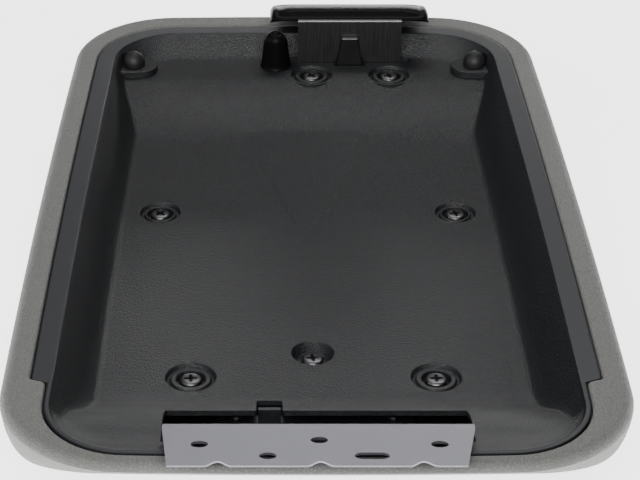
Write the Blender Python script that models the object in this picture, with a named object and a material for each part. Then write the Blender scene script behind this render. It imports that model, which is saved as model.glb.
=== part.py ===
# Centre console lid, lying upside down on its padded top.
#
# Frame: +X to the right, +Y from the hinge end to the latch end, +Z up. Z = 0 is the surface
# that the crown of the pad rests on, and X = Y = 0 is the middle of the lid's outer box.
# A padded, vinyl-covered shell carries a moulded tray, held by seven screws. A steel hinge leaf
# swings in a slot at the near end, and a sprung latch handle tips at the far end.

import math
from collections import namedtuple

import bmesh
import bpy
from mathutils import Matrix, Vector

MM = 0.001
GAP = 0.35 * MM                 # air between pieces that touch
MERGE = 0.002 * MM              # points closer than this are one

# Whole lid
RIM_HEIGHT = 60 * MM            # rim of the lid above the surface it lies on
CROWN_FLAT = 74 * MM            # half width of the part of the crown that is flat

# Plan of the padded outside
PAD_HALF_WIDTH = 140 * MM
PAD_TAPER = 6 * MM              # how much narrower each side is at the latch end
PAD_NEAR = 224 * MM             # hinge end, measured from the middle
PAD_FAR = 238.5 * MM            # latch end
PAD_NEAR_CORNER = 58 * MM
PAD_FAR_CORNER = 55 * MM
END_BOW = 3 * MM                # how far the two ends bulge
RIM_ROUND = 6 * MM              # rounding of the padded rim at the sides and the latch end
RIM_ROUND_NEAR = 3.9 * MM       # and at the hinge end

# Visible band of vinyl round the tray
BAND_SIDE = 13.5 * MM
BAND_NEAR = 8 * MM
BAND_FAR = 18 * MM

# Layers of the pad, from the outside
SKIN = 1.4 * MM
FOAM = 8 * MM
SHELL = 2.6 * MM

# Tray (inner liner)
FLANGE_SIDE = 9.5 * MM
FLANGE_NEAR = 2.2 * MM
FLANGE_FAR = 9.5 * MM
FLANGE_THICK = 3 * MM
TRAY_WALL = 2.8 * MM
SEAM_GAP = 0.8 * MM             # dark line between vinyl and tray
STEP_AT = -158 * MM             # where the wide side flange steps in to the narrow bead
STEP_LENGTH = 4 * MM
FLOOR_HEIGHT = 30 * MM          # tray floor above the surface that the lid lies on
FLOOR_DEPTH = RIM_HEIGHT - FLOOR_HEIGHT
SHELF_DEPTH = 12 * MM           # raised shelf at the latch end
TERRACE_DEPTH = 5 * MM          # shallow terrace at the hinge end
LIP_DROP = 1.5 * MM             # small drop behind the bead at the hinge end
FLOOR_NEAR_END = -129 * MM
NEAR_RAMP = 59 * MM
FLOOR_FAR_END = 138 * MM
FAR_RAMP = 28 * MM
WALL_RUN_SIDE = 18 * MM
WALL_RUN_NEAR = 23 * MM
WALL_RUN_FAR = 12 * MM

# Screws and their recesses
RECESS_RADIUS = 11.8 * MM
MID_RECESS_RADIUS = 10.6 * MM
CENTRE_RECESS_RADIUS = 10 * MM
RECESS_GROOVE = 2.4 * MM
SEAT_DEPTH = 4.2 * MM
CENTRE_SEAT_DEPTH = 6.5 * MM
COUNTERBORE_RADIUS = 6.9 * MM
SEAT_THICK = 2.4 * MM
SCREW_RADIUS = 2 * MM
SCREW_LENGTH = 12 * MM          # under the head
HEAD_RADIUS = 4.8 * MM
HEAD_HEIGHT = 3 * MM
TOWER_RADIUS = 5.5 * MM
NEAR_SCREW_X = 57.7 * MM
NEAR_SCREW_Y = -113 * MM
CENTRE_SCREW_Y = -92 * MM
MID_SCREW_INSET = 61 * MM       # inward of the widest line of the pad
MID_SCREW_X = PAD_HALF_WIDTH - MID_SCREW_INSET
MID_SCREW_Y = 45 * MM
FAR_SCREW_SPREAD = 22.7 * MM
FAR_SCREW_Y = 178 * MM

# Hinge
PIN_Y = -193 * MM
PIN_DROP = 9 * MM               # hinge pin below the rim
PIN_RADIUS = 2.5 * MM
PIN_HALF_LENGTH = 62.5 * MM
LEAF_THICK = 2.1 * MM
LEAF_HALF_WIDTH = 66.5 * MM     # console leaf at its bend
LEAF_NARROWING_LEFT = 3.9 * MM  # from the bend to the near edge
LEAF_NARROWING_RIGHT = 6.9 * MM
LEAF_TILT = math.radians(14)
LEAF_DEPTH = 45.9 * MM          # console leaf from its bend to its near edge
LEAF_BEND_RISE = 3 * MM         # its bend above the rim
BOLT_HOLE_RADIUS = 3.6 * MM
SLOT_HOLE_HALF_LENGTH = 3.6 * MM
NOTCH_SPACING = 42 * MM
NOTCH_HALF_WIDTH = 4.8 * MM
NOTCH_DEPTH = 4.5 * MM
OUTER_KNUCKLE = 15 * MM
MIDDLE_KNUCKLE = 20 * MM
LID_KNUCKLE = 14 * MM
HINGE_SLOT_HALF = 67.5 * MM
HINGE_SLOT_NEAR = -200 * MM
HINGE_SLOT_FAR = -157 * MM
SIDE_NOTCH_X = -20.7 * MM       # small notch on the far side of the slot, and the tab in it
SIDE_NOTCH_HALF = 6 * MM
SIDE_NOTCH_FAR = -133 * MM
LID_LEAF_FOOT_DROP = 5 * MM     # top of the lid leaf's foot below the tray's floor
LID_LEAF_FOOT_FAR = 9 * MM      # its foot beyond the screws
LID_LEAF_FOOT_NEAR = 7 * MM     # and in front of them
TAB_Y = -144 * MM               # face of the tab that stands in the side notch
HINGE_SCREW_X = 36 * MM
HINGE_SCREW_Y = -138 * MM
HINGE_SCREW_LENGTH = 7 * MM
HINGE_HEAD_RADIUS = 3.8 * MM
HINGE_HEAD_HEIGHT = 2 * MM
SPRING_WIRE = 0.6 * MM          # radius of the spring wire
SPRING_TURNS = 5

# Latch
LATCH_X = 27 * MM
LATCH_Y = 196 * MM
LATCH_PIVOT_DROP = 22 * MM      # latch pin below the rim
LATCH_PIN_RADIUS = 2 * MM
PLATE_HALF_WIDTH = 30.5 * MM
PLATE_THICK = 2.2 * MM
PLATE_RISE = 14.6 * MM          # top edge of the plate above the rim
HANDLE_HALF_WIDTH = 47 * MM
HANDLE_THICK = 2.6 * MM
HANDLE_CORNER = 12 * MM
HANDLE_REACH = 44 * MM          # how far the handle reaches beyond the plate
HANDLE_CREST = 18.5 * MM        # crest of the handle above the rim
HANDLE_FRONT_RISE = 2.5 * MM    # front edge of the handle above the rim
HANDLE_END = 13 * MM            # stretch of each end that bends down
HANDLE_DROOP = 7 * MM           # how far it bends down at the plate, and less towards the front
HOOK_HALF_BASE = 8 * MM
HOOK_HALF_TOP = 4.6 * MM
HOOK_HEIGHT = 16.5 * MM
HOOK_REACH = 3.8 * MM
HOOK_TOP_REACH = 2.8 * MM
OPENING_MARGIN = 5 * MM         # latch opening beyond the plate, each side
HOUSING_WALL = 2 * MM

# Post and bumpers
POST_X = -16.7 * MM
POST_Y = 190.5 * MM
POST_BASE_RADIUS = 8.3 * MM
POST_TOP_RADIUS = 6.7 * MM
POST_HEIGHT = 20.8 * MM
BUMPER_INSET = 40 * MM          # inward of the widest line of the pad
BUMPER_X = PAD_HALF_WIDTH - BUMPER_INSET
BUMPER_Y = 183 * MM
BUMPER_RADIUS = 6.7 * MM
BUMPER_HEIGHT = 8.5 * MM
BUMPER_PAD_RADIUS = 9.8 * MM
BUMPER_PAD_RISE = 4 * MM
BUMPER_PAD_SHIFT = 4 * MM       # middle of the pad's round end, inward of the bumper
BUMPER_PAD_OUTER = ((9 * MM, -9.8 * MM), (9 * MM, -2 * MM), (3.5 * MM, 9.8 * MM))  # from the bumper
BUMPER_ROOM = 12 * MM           # height of the clear room round a bumper
STEM_RADIUS = 2.2 * MM          # stem of a bumper or of the post
STEM_LENGTH = 5 * MM

ROUND = 16                      # facets of a round piece
END_STEPS = 3                   # stretches of each half end
CORNER_STEPS = 4                # stretches of each corner
LEAST_STRETCH = 0.5 * MM        # shortest stretch of a side


def clear_scene():
    for item in list(bpy.data.objects):
        bpy.data.objects.remove(item, do_unlink=True)


def material(name, colour, roughness, metallic=0.0):
    made = bpy.data.materials.get(name)
    if made is None:
        made = bpy.data.materials.new(name)
        made.use_nodes = True
        shader = made.node_tree.nodes["Principled BSDF"]
        shader.inputs["Base Color"].default_value = (*colour, 1)
        shader.inputs["Roughness"].default_value = roughness
        shader.inputs["Metallic"].default_value = metallic
    return made


def new_object(name, mesh_edit, look=None, origin=(0, 0, 0)):
    """A closed mesh object, made in world places and then given its origin."""
    bmesh.ops.recalc_face_normals(mesh_edit, faces=mesh_edit.faces)
    mesh = bpy.data.meshes.new(name)
    mesh_edit.to_mesh(mesh)
    mesh_edit.free()
    mesh.transform(Matrix.Translation(-Vector(origin)))
    made = bpy.data.objects.new(name, mesh)
    made.location = origin
    bpy.context.scene.collection.objects.link(made)
    if look:
        mesh.materials.append(look)
        mesh.shade_smooth()
        mesh.set_sharp_from_angle(angle=math.radians(35))
    return made


def combine(target, tools, operation):
    """Joins solids to a target, or cuts them from it one after another, and removes them."""
    for tool in tools:
        step = target.modifiers.new(operation, "BOOLEAN")
        step.operation = operation
        step.solver = "EXACT"
        step.object = tool
        bpy.context.view_layer.update()
        seen = target.evaluated_get(bpy.context.evaluated_depsgraph_get())
        mesh = bpy.data.meshes.new_from_object(seen)
        target.modifiers.clear()
        edit = bmesh.new()
        edit.from_mesh(mesh)
        bmesh.ops.remove_doubles(edit, verts=edit.verts, dist=MERGE)
        bmesh.ops.dissolve_degenerate(edit, dist=MERGE, edges=edit.edges)
        edit.to_mesh(mesh)
        edit.free()
        target.data = mesh
        bpy.data.objects.remove(tool, do_unlink=True)


def box(low, high):
    edit = bmesh.new()
    bmesh.ops.create_cube(edit, size=1)
    for corner in edit.verts:
        corner.co = Vector(low[i] if corner.co[i] < 0 else high[i] for i in range(3))
    return new_object("box", edit)


def prism(points, low, high, axis="X"):
    """An outline pushed along X (points are y, z) or along Z (points are x, y)."""
    edit = bmesh.new()
    place = (lambda p, t: (t, p[0], p[1])) if axis == "X" else (lambda p, t: (p[0], p[1], t))
    first = [edit.verts.new(place(p, low)) for p in points]
    last = [edit.verts.new(place(p, high)) for p in points]
    edit.faces.new(first)
    edit.faces.new(last)
    for i in range(len(points)):
        j = (i + 1) % len(points)
        edit.faces.new((first[i], first[j], last[j], last[i]))
    return new_object("prism", edit)


def turned(profile, place, axis="Z", facets=ROUND):
    """A profile of (radius, height) turned about an axis; radius 0 at an end closes it."""
    edit = bmesh.new()
    rings = []
    for radius, height in profile:
        if radius == 0:
            rings.append([edit.verts.new((0, 0, height))])
            continue
        turns = [2 * math.pi * (i + 0.5) / facets for i in range(facets)]
        rings.append([edit.verts.new((radius * math.cos(a), radius * math.sin(a), height))
                      for a in turns])
    closed = profile[0][0] > 0
    pairs = list(zip(rings, rings[1:] + rings[:1])) if closed else list(zip(rings, rings[1:]))
    for one, two in pairs:
        for i in range(facets):
            j = (i + 1) % facets
            corners = [one[i % len(one)], one[j % len(one)], two[j % len(two)], two[i % len(two)]]
            edit.faces.new(list(dict.fromkeys(corners)))
    if axis == "X":
        edit.transform(Matrix.Rotation(math.pi / 2, 4, "Y"))
    edit.transform(Matrix.Translation(Vector(place)))
    return new_object("turned", edit)


def rod(radius, low, high, place, axis="Z", facets=ROUND):
    return turned([(0, low), (radius, low), (radius, high), (0, high)], place, axis, facets)


def named(item, name, look, origin=None):
    """Gives a finished solid its node's name, finish and origin."""
    item.name = name
    item.data.name = name
    item.data.materials.clear()
    item.data.materials.append(look)
    if origin is not None:
        item.data.transform(Matrix.Translation(item.location - Vector(origin)))
        item.location = origin
    item.data.shade_smooth()
    item.data.set_sharp_from_angle(angle=math.radians(35))
    return item


# Plan outlines

Plan = namedtuple("Plan", "half taper near far near_corner far_corner")

PAD = Plan(PAD_HALF_WIDTH, PAD_TAPER, PAD_NEAR, PAD_FAR, PAD_NEAR_CORNER, PAD_FAR_CORNER)
MOUTH = Plan(PAD_HALF_WIDTH - BAND_SIDE - FLANGE_SIDE, PAD_TAPER,
             PAD_NEAR - BAND_NEAR - FLANGE_NEAR, PAD_FAR - BAND_FAR - FLANGE_FAR,
             PAD_NEAR_CORNER - 24 * MM, PAD_FAR_CORNER - 20 * MM)
SMALLEST_CORNER = 8 * MM
SIDE_STATIONS = (STEP_AT - STEP_LENGTH, STEP_AT, FLOOR_NEAR_END - NEAR_RAMP / 4, FLOOR_NEAR_END,
                 (FLOOR_NEAR_END + FLOOR_FAR_END) / 2, FLOOR_FAR_END, FLOOR_FAR_END + FAR_RAMP / 2,
                 FLOOR_FAR_END + FAR_RAMP)


def smooth(share):
    share = min(max(share, 0), 1)
    return share * share * (3 - 2 * share)


def corner_arc(start, knee, end):
    """Points of a round corner, both ends included."""
    weight = math.cos(math.pi / 4)
    points = []
    for i in range(CORNER_STEPS + 1):
        t = i / CORNER_STEPS
        a, b, c = (1 - t) ** 2, 2 * weight * t * (1 - t), t * t
        points.append([(a * start[k] + b * knee[k] + c * end[k]) / (a + b + c) for k in (0, 1)])
    return points


def outline(plan, side, near, far, near_side=None):
    """A closed loop (x, y, side share, near share), set in from a plan on each side."""
    near_side = side if near_side is None else near_side
    half_near = plan.half - near_side
    half_mid = plan.half - side
    y_near = near - plan.near
    y_far = plan.far - far
    r_near = max(plan.near_corner - max(near, near_side), SMALLEST_CORNER)
    r_far = max(plan.far_corner - max(far, side), SMALLEST_CORNER)
    side_start = y_near + END_BOW + r_near
    side_end = y_far - END_BOW - r_far
    half_far = half_mid - plan.taper

    def end_point(x, half, y, sign):
        return [x, y + sign * END_BOW * (x / half) ** 2]

    right = []
    for i in range(END_STEPS):
        right.append(end_point((half_near - r_near) * i / END_STEPS, half_near, y_near, 1) + [0, 1])
    start = end_point(half_near - r_near, half_near, y_near, 1)
    arc = corner_arc(start, (half_near, y_near + END_BOW), (half_near, side_start))
    right += [p + [k / CORNER_STEPS, 1 - k / CORNER_STEPS] for k, p in enumerate(arc)]

    def half_at(y):
        share = (y - side_start) / (side_end - side_start)
        return half_mid - plan.taper * share ** 2

    # the same stations on every loop, pushed together where a loop's side is shorter
    count = len(SIDE_STATIONS)
    along = [min(max(y, side_start + (k + 1) * LEAST_STRETCH), side_end - (count - k) * LEAST_STRETCH)
             for k, y in enumerate(SIDE_STATIONS)]
    right.append([half_near, along[0], 1, 0])
    right += [[half_at(y), y, 1, 0] for y in along[1:]]
    end = end_point(half_far - r_far, half_far, y_far, -1)
    arc = corner_arc((half_far, side_end), (half_far, y_far - END_BOW), end)
    right += [p + [1 - k / CORNER_STEPS, 0] for k, p in enumerate(arc)]
    for i in range(END_STEPS - 1, -1, -1):
        x = (half_far - r_far) * i / END_STEPS
        right.append(end_point(x, half_far, y_far, -1) + [0, 0])
    left = [[-x, y, s, n] for x, y, s, n in right[-2:0:-1]]
    return right + left


def ring(plan, side, near, far, near_side=None):
    """A loop of points; side, near and far are each (inset, z)."""
    near_inset = None if near_side is None else near_side[0]
    points = []
    for x, y, s, n in outline(plan, side[0], near[0], far[0], near_inset):
        points.append((x, y, s * side[1] + n * near[1] + (1 - s - n) * far[1]))
    return points


def loft(rings, name, look):
    """A closed solid through rings with as many points each, capped at both ends."""
    edit = bmesh.new()
    loops = [[edit.verts.new(p) for p in points] for points in rings]
    count = len(loops[0])
    for one, two in zip(loops, loops[1:]):
        for i in range(count):
            j = (i + 1) % count
            edit.faces.new((one[i], one[j], two[j], two[i]))
    edit.faces.new(loops[0])
    edit.faces.new(loops[-1])
    bmesh.ops.triangulate(edit, faces=edit.faces)
    return new_object(name, edit, look)


# The padded body: rows of (inset, height) down the outside, for the side, near and far ends

def rim_rows(rounding):
    """The rounded edge of the rim, from its flat top to its widest line."""
    turns = [math.radians(a) for a in (0, 38, 90)]
    return [(rounding * (1 - math.sin(a)), RIM_HEIGHT - rounding * (1 - math.cos(a)))
            for a in turns]


def crown_rows(insets, shares):
    return [(inset, RIM_HEIGHT * (1 - share)) for inset, share in zip(insets, shares)]


CROWN_SHARES = (0.27, 0.47, 0.67, 0.84, 0.96, 1.0)
SIDE_ROWS = rim_rows(RIM_ROUND) + crown_rows(
    [1.2 * MM, 4.5 * MM, 12 * MM, 24 * MM, 44 * MM, PAD_HALF_WIDTH - CROWN_FLAT], CROWN_SHARES)
NEAR_ROWS = rim_rows(RIM_ROUND_NEAR) + crown_rows(
    [15.5 * MM, 34 * MM, 54 * MM, 76 * MM, 99 * MM, 124 * MM], CROWN_SHARES)
FAR_ROWS = rim_rows(RIM_ROUND) + crown_rows(
    [2 * MM, 6.5 * MM, 16 * MM, 30 * MM, 53 * MM, 80 * MM], CROWN_SHARES)


def offset_rows(rows, distances):
    """Rows moved inwards, square to the outside, with each bend mitred."""
    def square_to(one, two):
        return Vector((one[1] - two[1], two[0] - one[0])).normalized()

    moved = [(rows[0][0], rows[0][1] - distances[0])]
    for before, here, after, distance in zip(rows, rows[1:], rows[2:], distances[1:]):
        first, second = square_to(before, here), square_to(here, after)
        move = (first + second) * distance / (1 + first.dot(second))
        moved.append((here[0] + move[0], here[1] + move[1]))
    moved.append((rows[-1][0], rows[-1][1] + distances[-1]))
    return moved


def pad_rings(distance):
    """Rings of the pad's outside, all set in by one distance, from the rim to the crown."""
    sides = [offset_rows(rows, [distance] * len(rows)) for rows in (SIDE_ROWS, NEAR_ROWS, FAR_ROWS)]
    return [ring(PAD, *levels) for levels in zip(*sides)]


FOAM_SHARE_NEAR = (0.4, 0.75, 1, 1, 1, 1)


def shell_rows(distance):
    """Rows under the foam, set in by the foam and one more distance."""
    base = SKIN + 2 * GAP + distance
    rows = []
    for outside, shares in ((SIDE_ROWS, (1,) * 6), (NEAR_ROWS, FOAM_SHARE_NEAR), (FAR_ROWS, (1,) * 6)):
        distances = [0, 0, 0] + [base + FOAM * share for share in shares]
        rows.append(offset_rows(outside, distances)[3:])
    return rows


def shell_rings(distance):
    return [ring(PAD, *levels) for levels in zip(*shell_rows(distance))]


def shell_height(x, y, depth):
    """Height inside the shell's floor at a place, a depth above its underside."""
    heights = []
    inset_here = (PAD_HALF_WIDTH - abs(x), PAD_NEAR + y, PAD_FAR - y)
    for rows, here in zip(shell_rows(depth), inset_here):
        for (one, high), (two, low) in zip(rows, rows[1:]):
            if one <= here <= two:
                heights.append(high + (low - high) * (here - one) / (two - one))
                break
        else:
            heights.append(rows[-1][1])
    return max(heights)


def seam_ring(outward, z, inward_side=None):
    """A ring that follows the outer edge of the tray's flange; outward is beyond that edge."""
    side, near = outward, outward
    if inward_side is not None:
        side, near = -inward_side, -1.2 * MM
    return ring(MOUTH, (-FLANGE_SIDE - side, z), (-FLANGE_NEAR - near, z),
                (-FLANGE_FAR - side, z), (-FLANGE_NEAR - near, z))


SKIN_TAIL_TOP = RIM_HEIGHT - FLANGE_THICK - GAP
SKIN_TAIL_BOTTOM = SKIN_TAIL_TOP - SKIN
LEDGE_TOP = SKIN_TAIL_BOTTOM - GAP
TAIL_REACH = 4.5 * MM


def make_cover_skin(look):
    outside = pad_rings(0)[::-1]
    inside = pad_rings(SKIN)
    seam = [
        seam_ring(SEAM_GAP + 0.5 * MM, RIM_HEIGHT),
        seam_ring(SEAM_GAP, RIM_HEIGHT - 0.6 * MM),
        seam_ring(SEAM_GAP, SKIN_TAIL_TOP),
        seam_ring(0, SKIN_TAIL_TOP, TAIL_REACH),
        seam_ring(0, SKIN_TAIL_BOTTOM, TAIL_REACH),
        seam_ring(SEAM_GAP + SKIN, SKIN_TAIL_BOTTOM),
        seam_ring(SEAM_GAP + SKIN, RIM_HEIGHT - SKIN),
    ]
    return loft(outside + seam + inside, "cover_skin", look)


def make_foam_pad(look):
    outside = pad_rings(SKIN + GAP)[::-1]
    wall = SEAM_GAP + SKIN + GAP
    edge = [seam_ring(wall, RIM_HEIGHT - SKIN - GAP), seam_ring(wall, LEDGE_TOP - GAP)]
    inside = shell_rings(-GAP)
    return loft(outside + edge + inside, "foam_pad", look)


def screw_length(seat):
    return SCREW_LENGTH - (seat - SEAT_DEPTH)


def tower_places():
    """Place, top and screw tip of each tower."""
    places = []
    for _, x, y, seat, _ in SCREWS:
        z = tray_height(y) - seat
        clamped = SEAT_THICK + GAP
        if y == FAR_SCREW_Y:
            clamped += HOUSING_WALL + GAP
        places.append((x, y, z - clamped, z - screw_length(seat)))
    return places


def make_top_shell(look):
    ledge = [seam_ring(SEAM_GAP + SKIN, LEDGE_TOP), seam_ring(0, LEDGE_TOP, TAIL_REACH + 1 * MM)]
    shell = loft(shell_rings(0)[::-1] + ledge + shell_rings(SHELL), "top_shell", look)
    bore = SCREW_RADIUS + GAP
    towers = [rod(TOWER_RADIUS, shell_height(x, y, SHELL / 2), top, (x, y, 0), facets=12)
              for x, y, top, _ in tower_places()]
    leaf_foot = FLOOR_HEIGHT - LID_LEAF_FOOT_DROP - LEAF_THICK - GAP
    for side in (-1, 1):
        x = side * HINGE_SCREW_X
        ends = (HINGE_SCREW_Y - 6 * MM, HINGE_SCREW_Y + 8 * MM)
        foot = [(y, shell_height(x, y, SHELL / 2)) for y in ends]
        towers.append(prism(foot + [(ends[1], leaf_foot), (ends[0], leaf_foot)], x - 9 * MM, x + 9 * MM))
    combine(shell, towers, "UNION")
    bores = [rod(bore, tip - GAP, top + 1 * MM, (x, y, 0), facets=12)
             for x, y, top, tip in tower_places()]
    for side in (-1, 1):
        bores.append(rod(bore, leaf_foot - HINGE_SCREW_LENGTH, leaf_foot + 1 * MM,
                         (side * HINGE_SCREW_X, HINGE_SCREW_Y, 0), facets=12))
    combine(shell, bores, "DIFFERENCE")
    return named(shell, "top_shell", look)


# Tray

def tray_depth(y):
    """Depth of the tray below the rim along its middle."""
    near = smooth((FLOOR_NEAR_END - y) / NEAR_RAMP)
    far = smooth((y - FLOOR_FAR_END) / FAR_RAMP)
    return (FLOOR_DEPTH - (FLOOR_DEPTH - TERRACE_DEPTH) * near
            - (FLOOR_DEPTH - SHELF_DEPTH) * far)


def tray_height(y):
    return RIM_HEIGHT - tray_depth(y)


LEAST_RUN = 0.35                # share of the side wall's run that the shallowest part keeps
WALL_SHAPE = ((0.09, 0.07), (0.36, 0.42), (0.61, 0.76), (0.8, 0.94), (1, 1))  # across, down
FLOOR_SHARES = (0, 0.25, 0.5, 0.75, 1)


def tray_ring(across, down, lowered=0, outward=0):
    """A ring on the tray's wall; across and down run from 0 at the mouth to 1 at the floor."""
    points = []
    loop = outline(MOUTH, WALL_RUN_SIDE * across - outward, WALL_RUN_NEAR * across - outward / 2,
                   WALL_RUN_FAR * across - outward)
    for x, y, side, _ in loop:
        # where the tray is shallower, its side wall keeps its slope and runs in less far
        spared = WALL_RUN_SIDE * (1 - max(tray_depth(y) / FLOOR_DEPTH, LEAST_RUN))
        x += math.copysign(spared * across * side, x)
        lip = LIP_DROP * smooth((STEP_AT - y) / (20 * MM)) * min(down * 8, 1)
        points.append((x, y, RIM_HEIGHT - down * tray_depth(y) - lip - lowered))
    return points


def floor_ring(share, lowered=0):
    """A ring on the floor, placed so that the rings fall on the ramps at both ends."""
    near_start = MOUTH.near + FLOOR_NEAR_END - NEAR_RAMP
    far_start = MOUTH.far - FLOOR_FAR_END - FAR_RAMP
    near = max(near_start, WALL_RUN_NEAR + 3 * MM) + NEAR_RAMP * share
    far = max(far_start, WALL_RUN_FAR + 3 * MM) + FAR_RAMP * share
    side = WALL_RUN_SIDE + 9 * MM + share * 46 * MM
    points = []
    for x, y, _, _ in outline(MOUTH, side, near, far):
        lip = LIP_DROP * smooth((STEP_AT - y) / (20 * MM))
        points.append((x, y, tray_height(y) - lip - lowered))
    return points


# name, x, y, depth of the screw's seat below the tray, radius of its recess
SCREWS = [
    ("screw_near_left", -NEAR_SCREW_X, NEAR_SCREW_Y, SEAT_DEPTH, RECESS_RADIUS),
    ("screw_near_right", NEAR_SCREW_X, NEAR_SCREW_Y, SEAT_DEPTH, RECESS_RADIUS),
    ("screw_centre", 0, CENTRE_SCREW_Y, CENTRE_SEAT_DEPTH, CENTRE_RECESS_RADIUS),
    ("screw_mid_left", -MID_SCREW_X, MID_SCREW_Y, SEAT_DEPTH, MID_RECESS_RADIUS),
    ("screw_mid_right", MID_SCREW_X, MID_SCREW_Y, SEAT_DEPTH, MID_RECESS_RADIUS),
    ("screw_far_left", LATCH_X - FAR_SCREW_SPREAD, FAR_SCREW_Y, SEAT_DEPTH, RECESS_RADIUS),
    ("screw_far_right", LATCH_X + FAR_SCREW_SPREAD, FAR_SCREW_Y, SEAT_DEPTH, RECESS_RADIUS),
]


def recess_cutter(x, y, seat, radius):
    """Groove round a low boss ring, with the counterbore and hole of the screw inside it."""
    top = 6 * MM
    hole, through = SCREW_RADIUS + GAP, seat + 2 * SEAT_THICK
    if seat > SEAT_DEPTH:
        profile = [(0, top), (radius, top), (radius, 0), (radius - 2 * MM, -seat)]
    else:
        inner = COUNTERBORE_RADIUS
        profile = [(0, top), (radius, top), (radius, 0), (radius - 0.5 * MM, -RECESS_GROOVE),
                   (radius - 2 * MM, -RECESS_GROOVE), (radius - 2.4 * MM, -0.8 * MM),
                   (inner, -0.8 * MM), (inner - 0.3 * MM, -seat)]
    profile += [(hole, -seat), (hole, -through), (0, -through)]
    return turned(profile, (x, y, tray_height(y)))


def make_inner_liner(look):
    edge = 0.5 * MM
    top = [ring(MOUTH, (-FLANGE_SIDE, RIM_HEIGHT - edge), (-FLANGE_NEAR, RIM_HEIGHT - edge),
                (-FLANGE_FAR, RIM_HEIGHT - edge), (-FLANGE_NEAR, RIM_HEIGHT - edge)),
           ring(MOUTH, (edge - FLANGE_SIDE, RIM_HEIGHT), (edge - FLANGE_NEAR, RIM_HEIGHT),
                (edge - FLANGE_FAR, RIM_HEIGHT), (edge - FLANGE_NEAR, RIM_HEIGHT)),
           tray_ring(0, 0)]
    top += [tray_ring(across, down) for across, down in WALL_SHAPE]
    top += [floor_ring(share) for share in FLOOR_SHARES]
    lower = [seam_ring(0, RIM_HEIGHT - FLANGE_THICK), tray_ring(0, 0, FLANGE_THICK, 1 * MM)]
    lower += [tray_ring(across, down, TRAY_WALL, 1.4 * MM) for across, down in WALL_SHAPE[1::2]]
    lower += [floor_ring(share, TRAY_WALL) for share in FLOOR_SHARES]
    liner = loft(top[::-1] + lower, "inner_liner", look)

    bosses = []
    for _, x, y, seat, radius in SCREWS:
        z = tray_height(y)
        bosses.append(rod(radius + 1.6 * MM, z - seat - SEAT_THICK, z - 0.4 * MM, (x, y, 0)))
    for side in (-1, 1):
        pad_top = tray_height(BUMPER_Y) + BUMPER_PAD_RISE
        pad_low = tray_height(BUMPER_Y) - 1 * MM
        inner = BUMPER_X - BUMPER_PAD_SHIFT
        turns = [math.radians(90 + 22.5 * i) for i in range(9)]
        points = [(side * (inner + BUMPER_PAD_RADIUS * math.cos(a)),
                   BUMPER_Y + BUMPER_PAD_RADIUS * math.sin(a)) for a in turns]
        points += [(side * (BUMPER_X + x), BUMPER_Y + y) for x, y in BUMPER_PAD_OUTER]
        bosses.append(prism(points, pad_low, pad_top, axis="Z"))
    combine(liner, bosses, "UNION")

    cutters = [recess_cutter(x, y, seat, radius) for _, x, y, seat, radius in SCREWS]
    high, low = RIM_HEIGHT + 1 * MM, RIM_HEIGHT - 45 * MM
    cutters.append(box((-HINGE_SLOT_HALF, HINGE_SLOT_NEAR, low),
                       (HINGE_SLOT_HALF, HINGE_SLOT_FAR, high)))
    cutters.append(box((SIDE_NOTCH_X - SIDE_NOTCH_HALF, HINGE_SLOT_FAR - 1 * MM, low),
                       (SIDE_NOTCH_X + SIDE_NOTCH_HALF, SIDE_NOTCH_FAR, high)))
    opening = PLATE_HALF_WIDTH + OPENING_MARGIN
    near_edge = LATCH_Y - PLATE_THICK / 2 - 1 * MM
    cutters.append(box((LATCH_X - opening, near_edge, low),
                       (LATCH_X + opening, LATCH_Y + PLATE_THICK / 2 + 2.4 * MM, RIM_HEIGHT - 6 * MM)))
    hook = HOOK_HALF_BASE + 1.2 * MM
    cutters.append(box((LATCH_X - hook, near_edge - HOOK_REACH - 0.4 * MM, low),
                       (LATCH_X + hook, near_edge + 1 * MM, RIM_HEIGHT - 6 * MM)))
    for x, y, z in stem_places():
        cutters.append(rod(STEM_RADIUS + GAP, -10 * MM, 1 * MM, (x, y, z), facets=12))
        if y == BUMPER_Y:
            cutters.append(rod(BUMPER_RADIUS + 2 * GAP, 0, BUMPER_ROOM, (x, y, z)))
    combine(liner, cutters, "DIFFERENCE")
    return named(liner, "inner_liner", look)


def stem_places():
    pad_top = tray_height(BUMPER_Y) + BUMPER_PAD_RISE
    return [(-BUMPER_X, BUMPER_Y, pad_top), (BUMPER_X, BUMPER_Y, pad_top),
            (POST_X, POST_Y, tray_height(POST_Y))]


def make_screw(name, place, length, radius, height, look):
    """Pan-head screw standing in its seat, with a cross recess."""
    profile = [(0, -length), (SCREW_RADIUS, 1 * MM - length), (SCREW_RADIUS, GAP), (radius, GAP),
               (radius, 0.45 * height), (0.75 * radius, 0.88 * height), (0, height)]
    screw = turned(profile, place, facets=12)
    x, y, z = place
    arm, half = 0.62 * radius, 0.6 * MM
    bottom, top = z + 0.4 * height, z + height + 1 * MM
    slots = [box((x - arm, y - half, bottom), (x + arm, y + half, top)),
             box((x - half, y - arm, bottom), (x + half, y + arm, top))]
    combine(screw, slots, "DIFFERENCE")
    return named(screw, name, look, place)


def make_bumper(name, place, look):
    dome = [(0, -STEM_LENGTH), (STEM_RADIUS, -STEM_LENGTH), (STEM_RADIUS, GAP)]
    dome += [(BUMPER_RADIUS, GAP), (BUMPER_RADIUS, 0.2 * BUMPER_HEIGHT)]
    for degrees in (30, 60):
        a = math.radians(degrees)
        dome.append((BUMPER_RADIUS * math.cos(a), BUMPER_HEIGHT * (0.2 + 0.8 * math.sin(a))))
    dome.append((0, BUMPER_HEIGHT))
    return named(turned(dome, place, facets=16), name, look, place)


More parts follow.
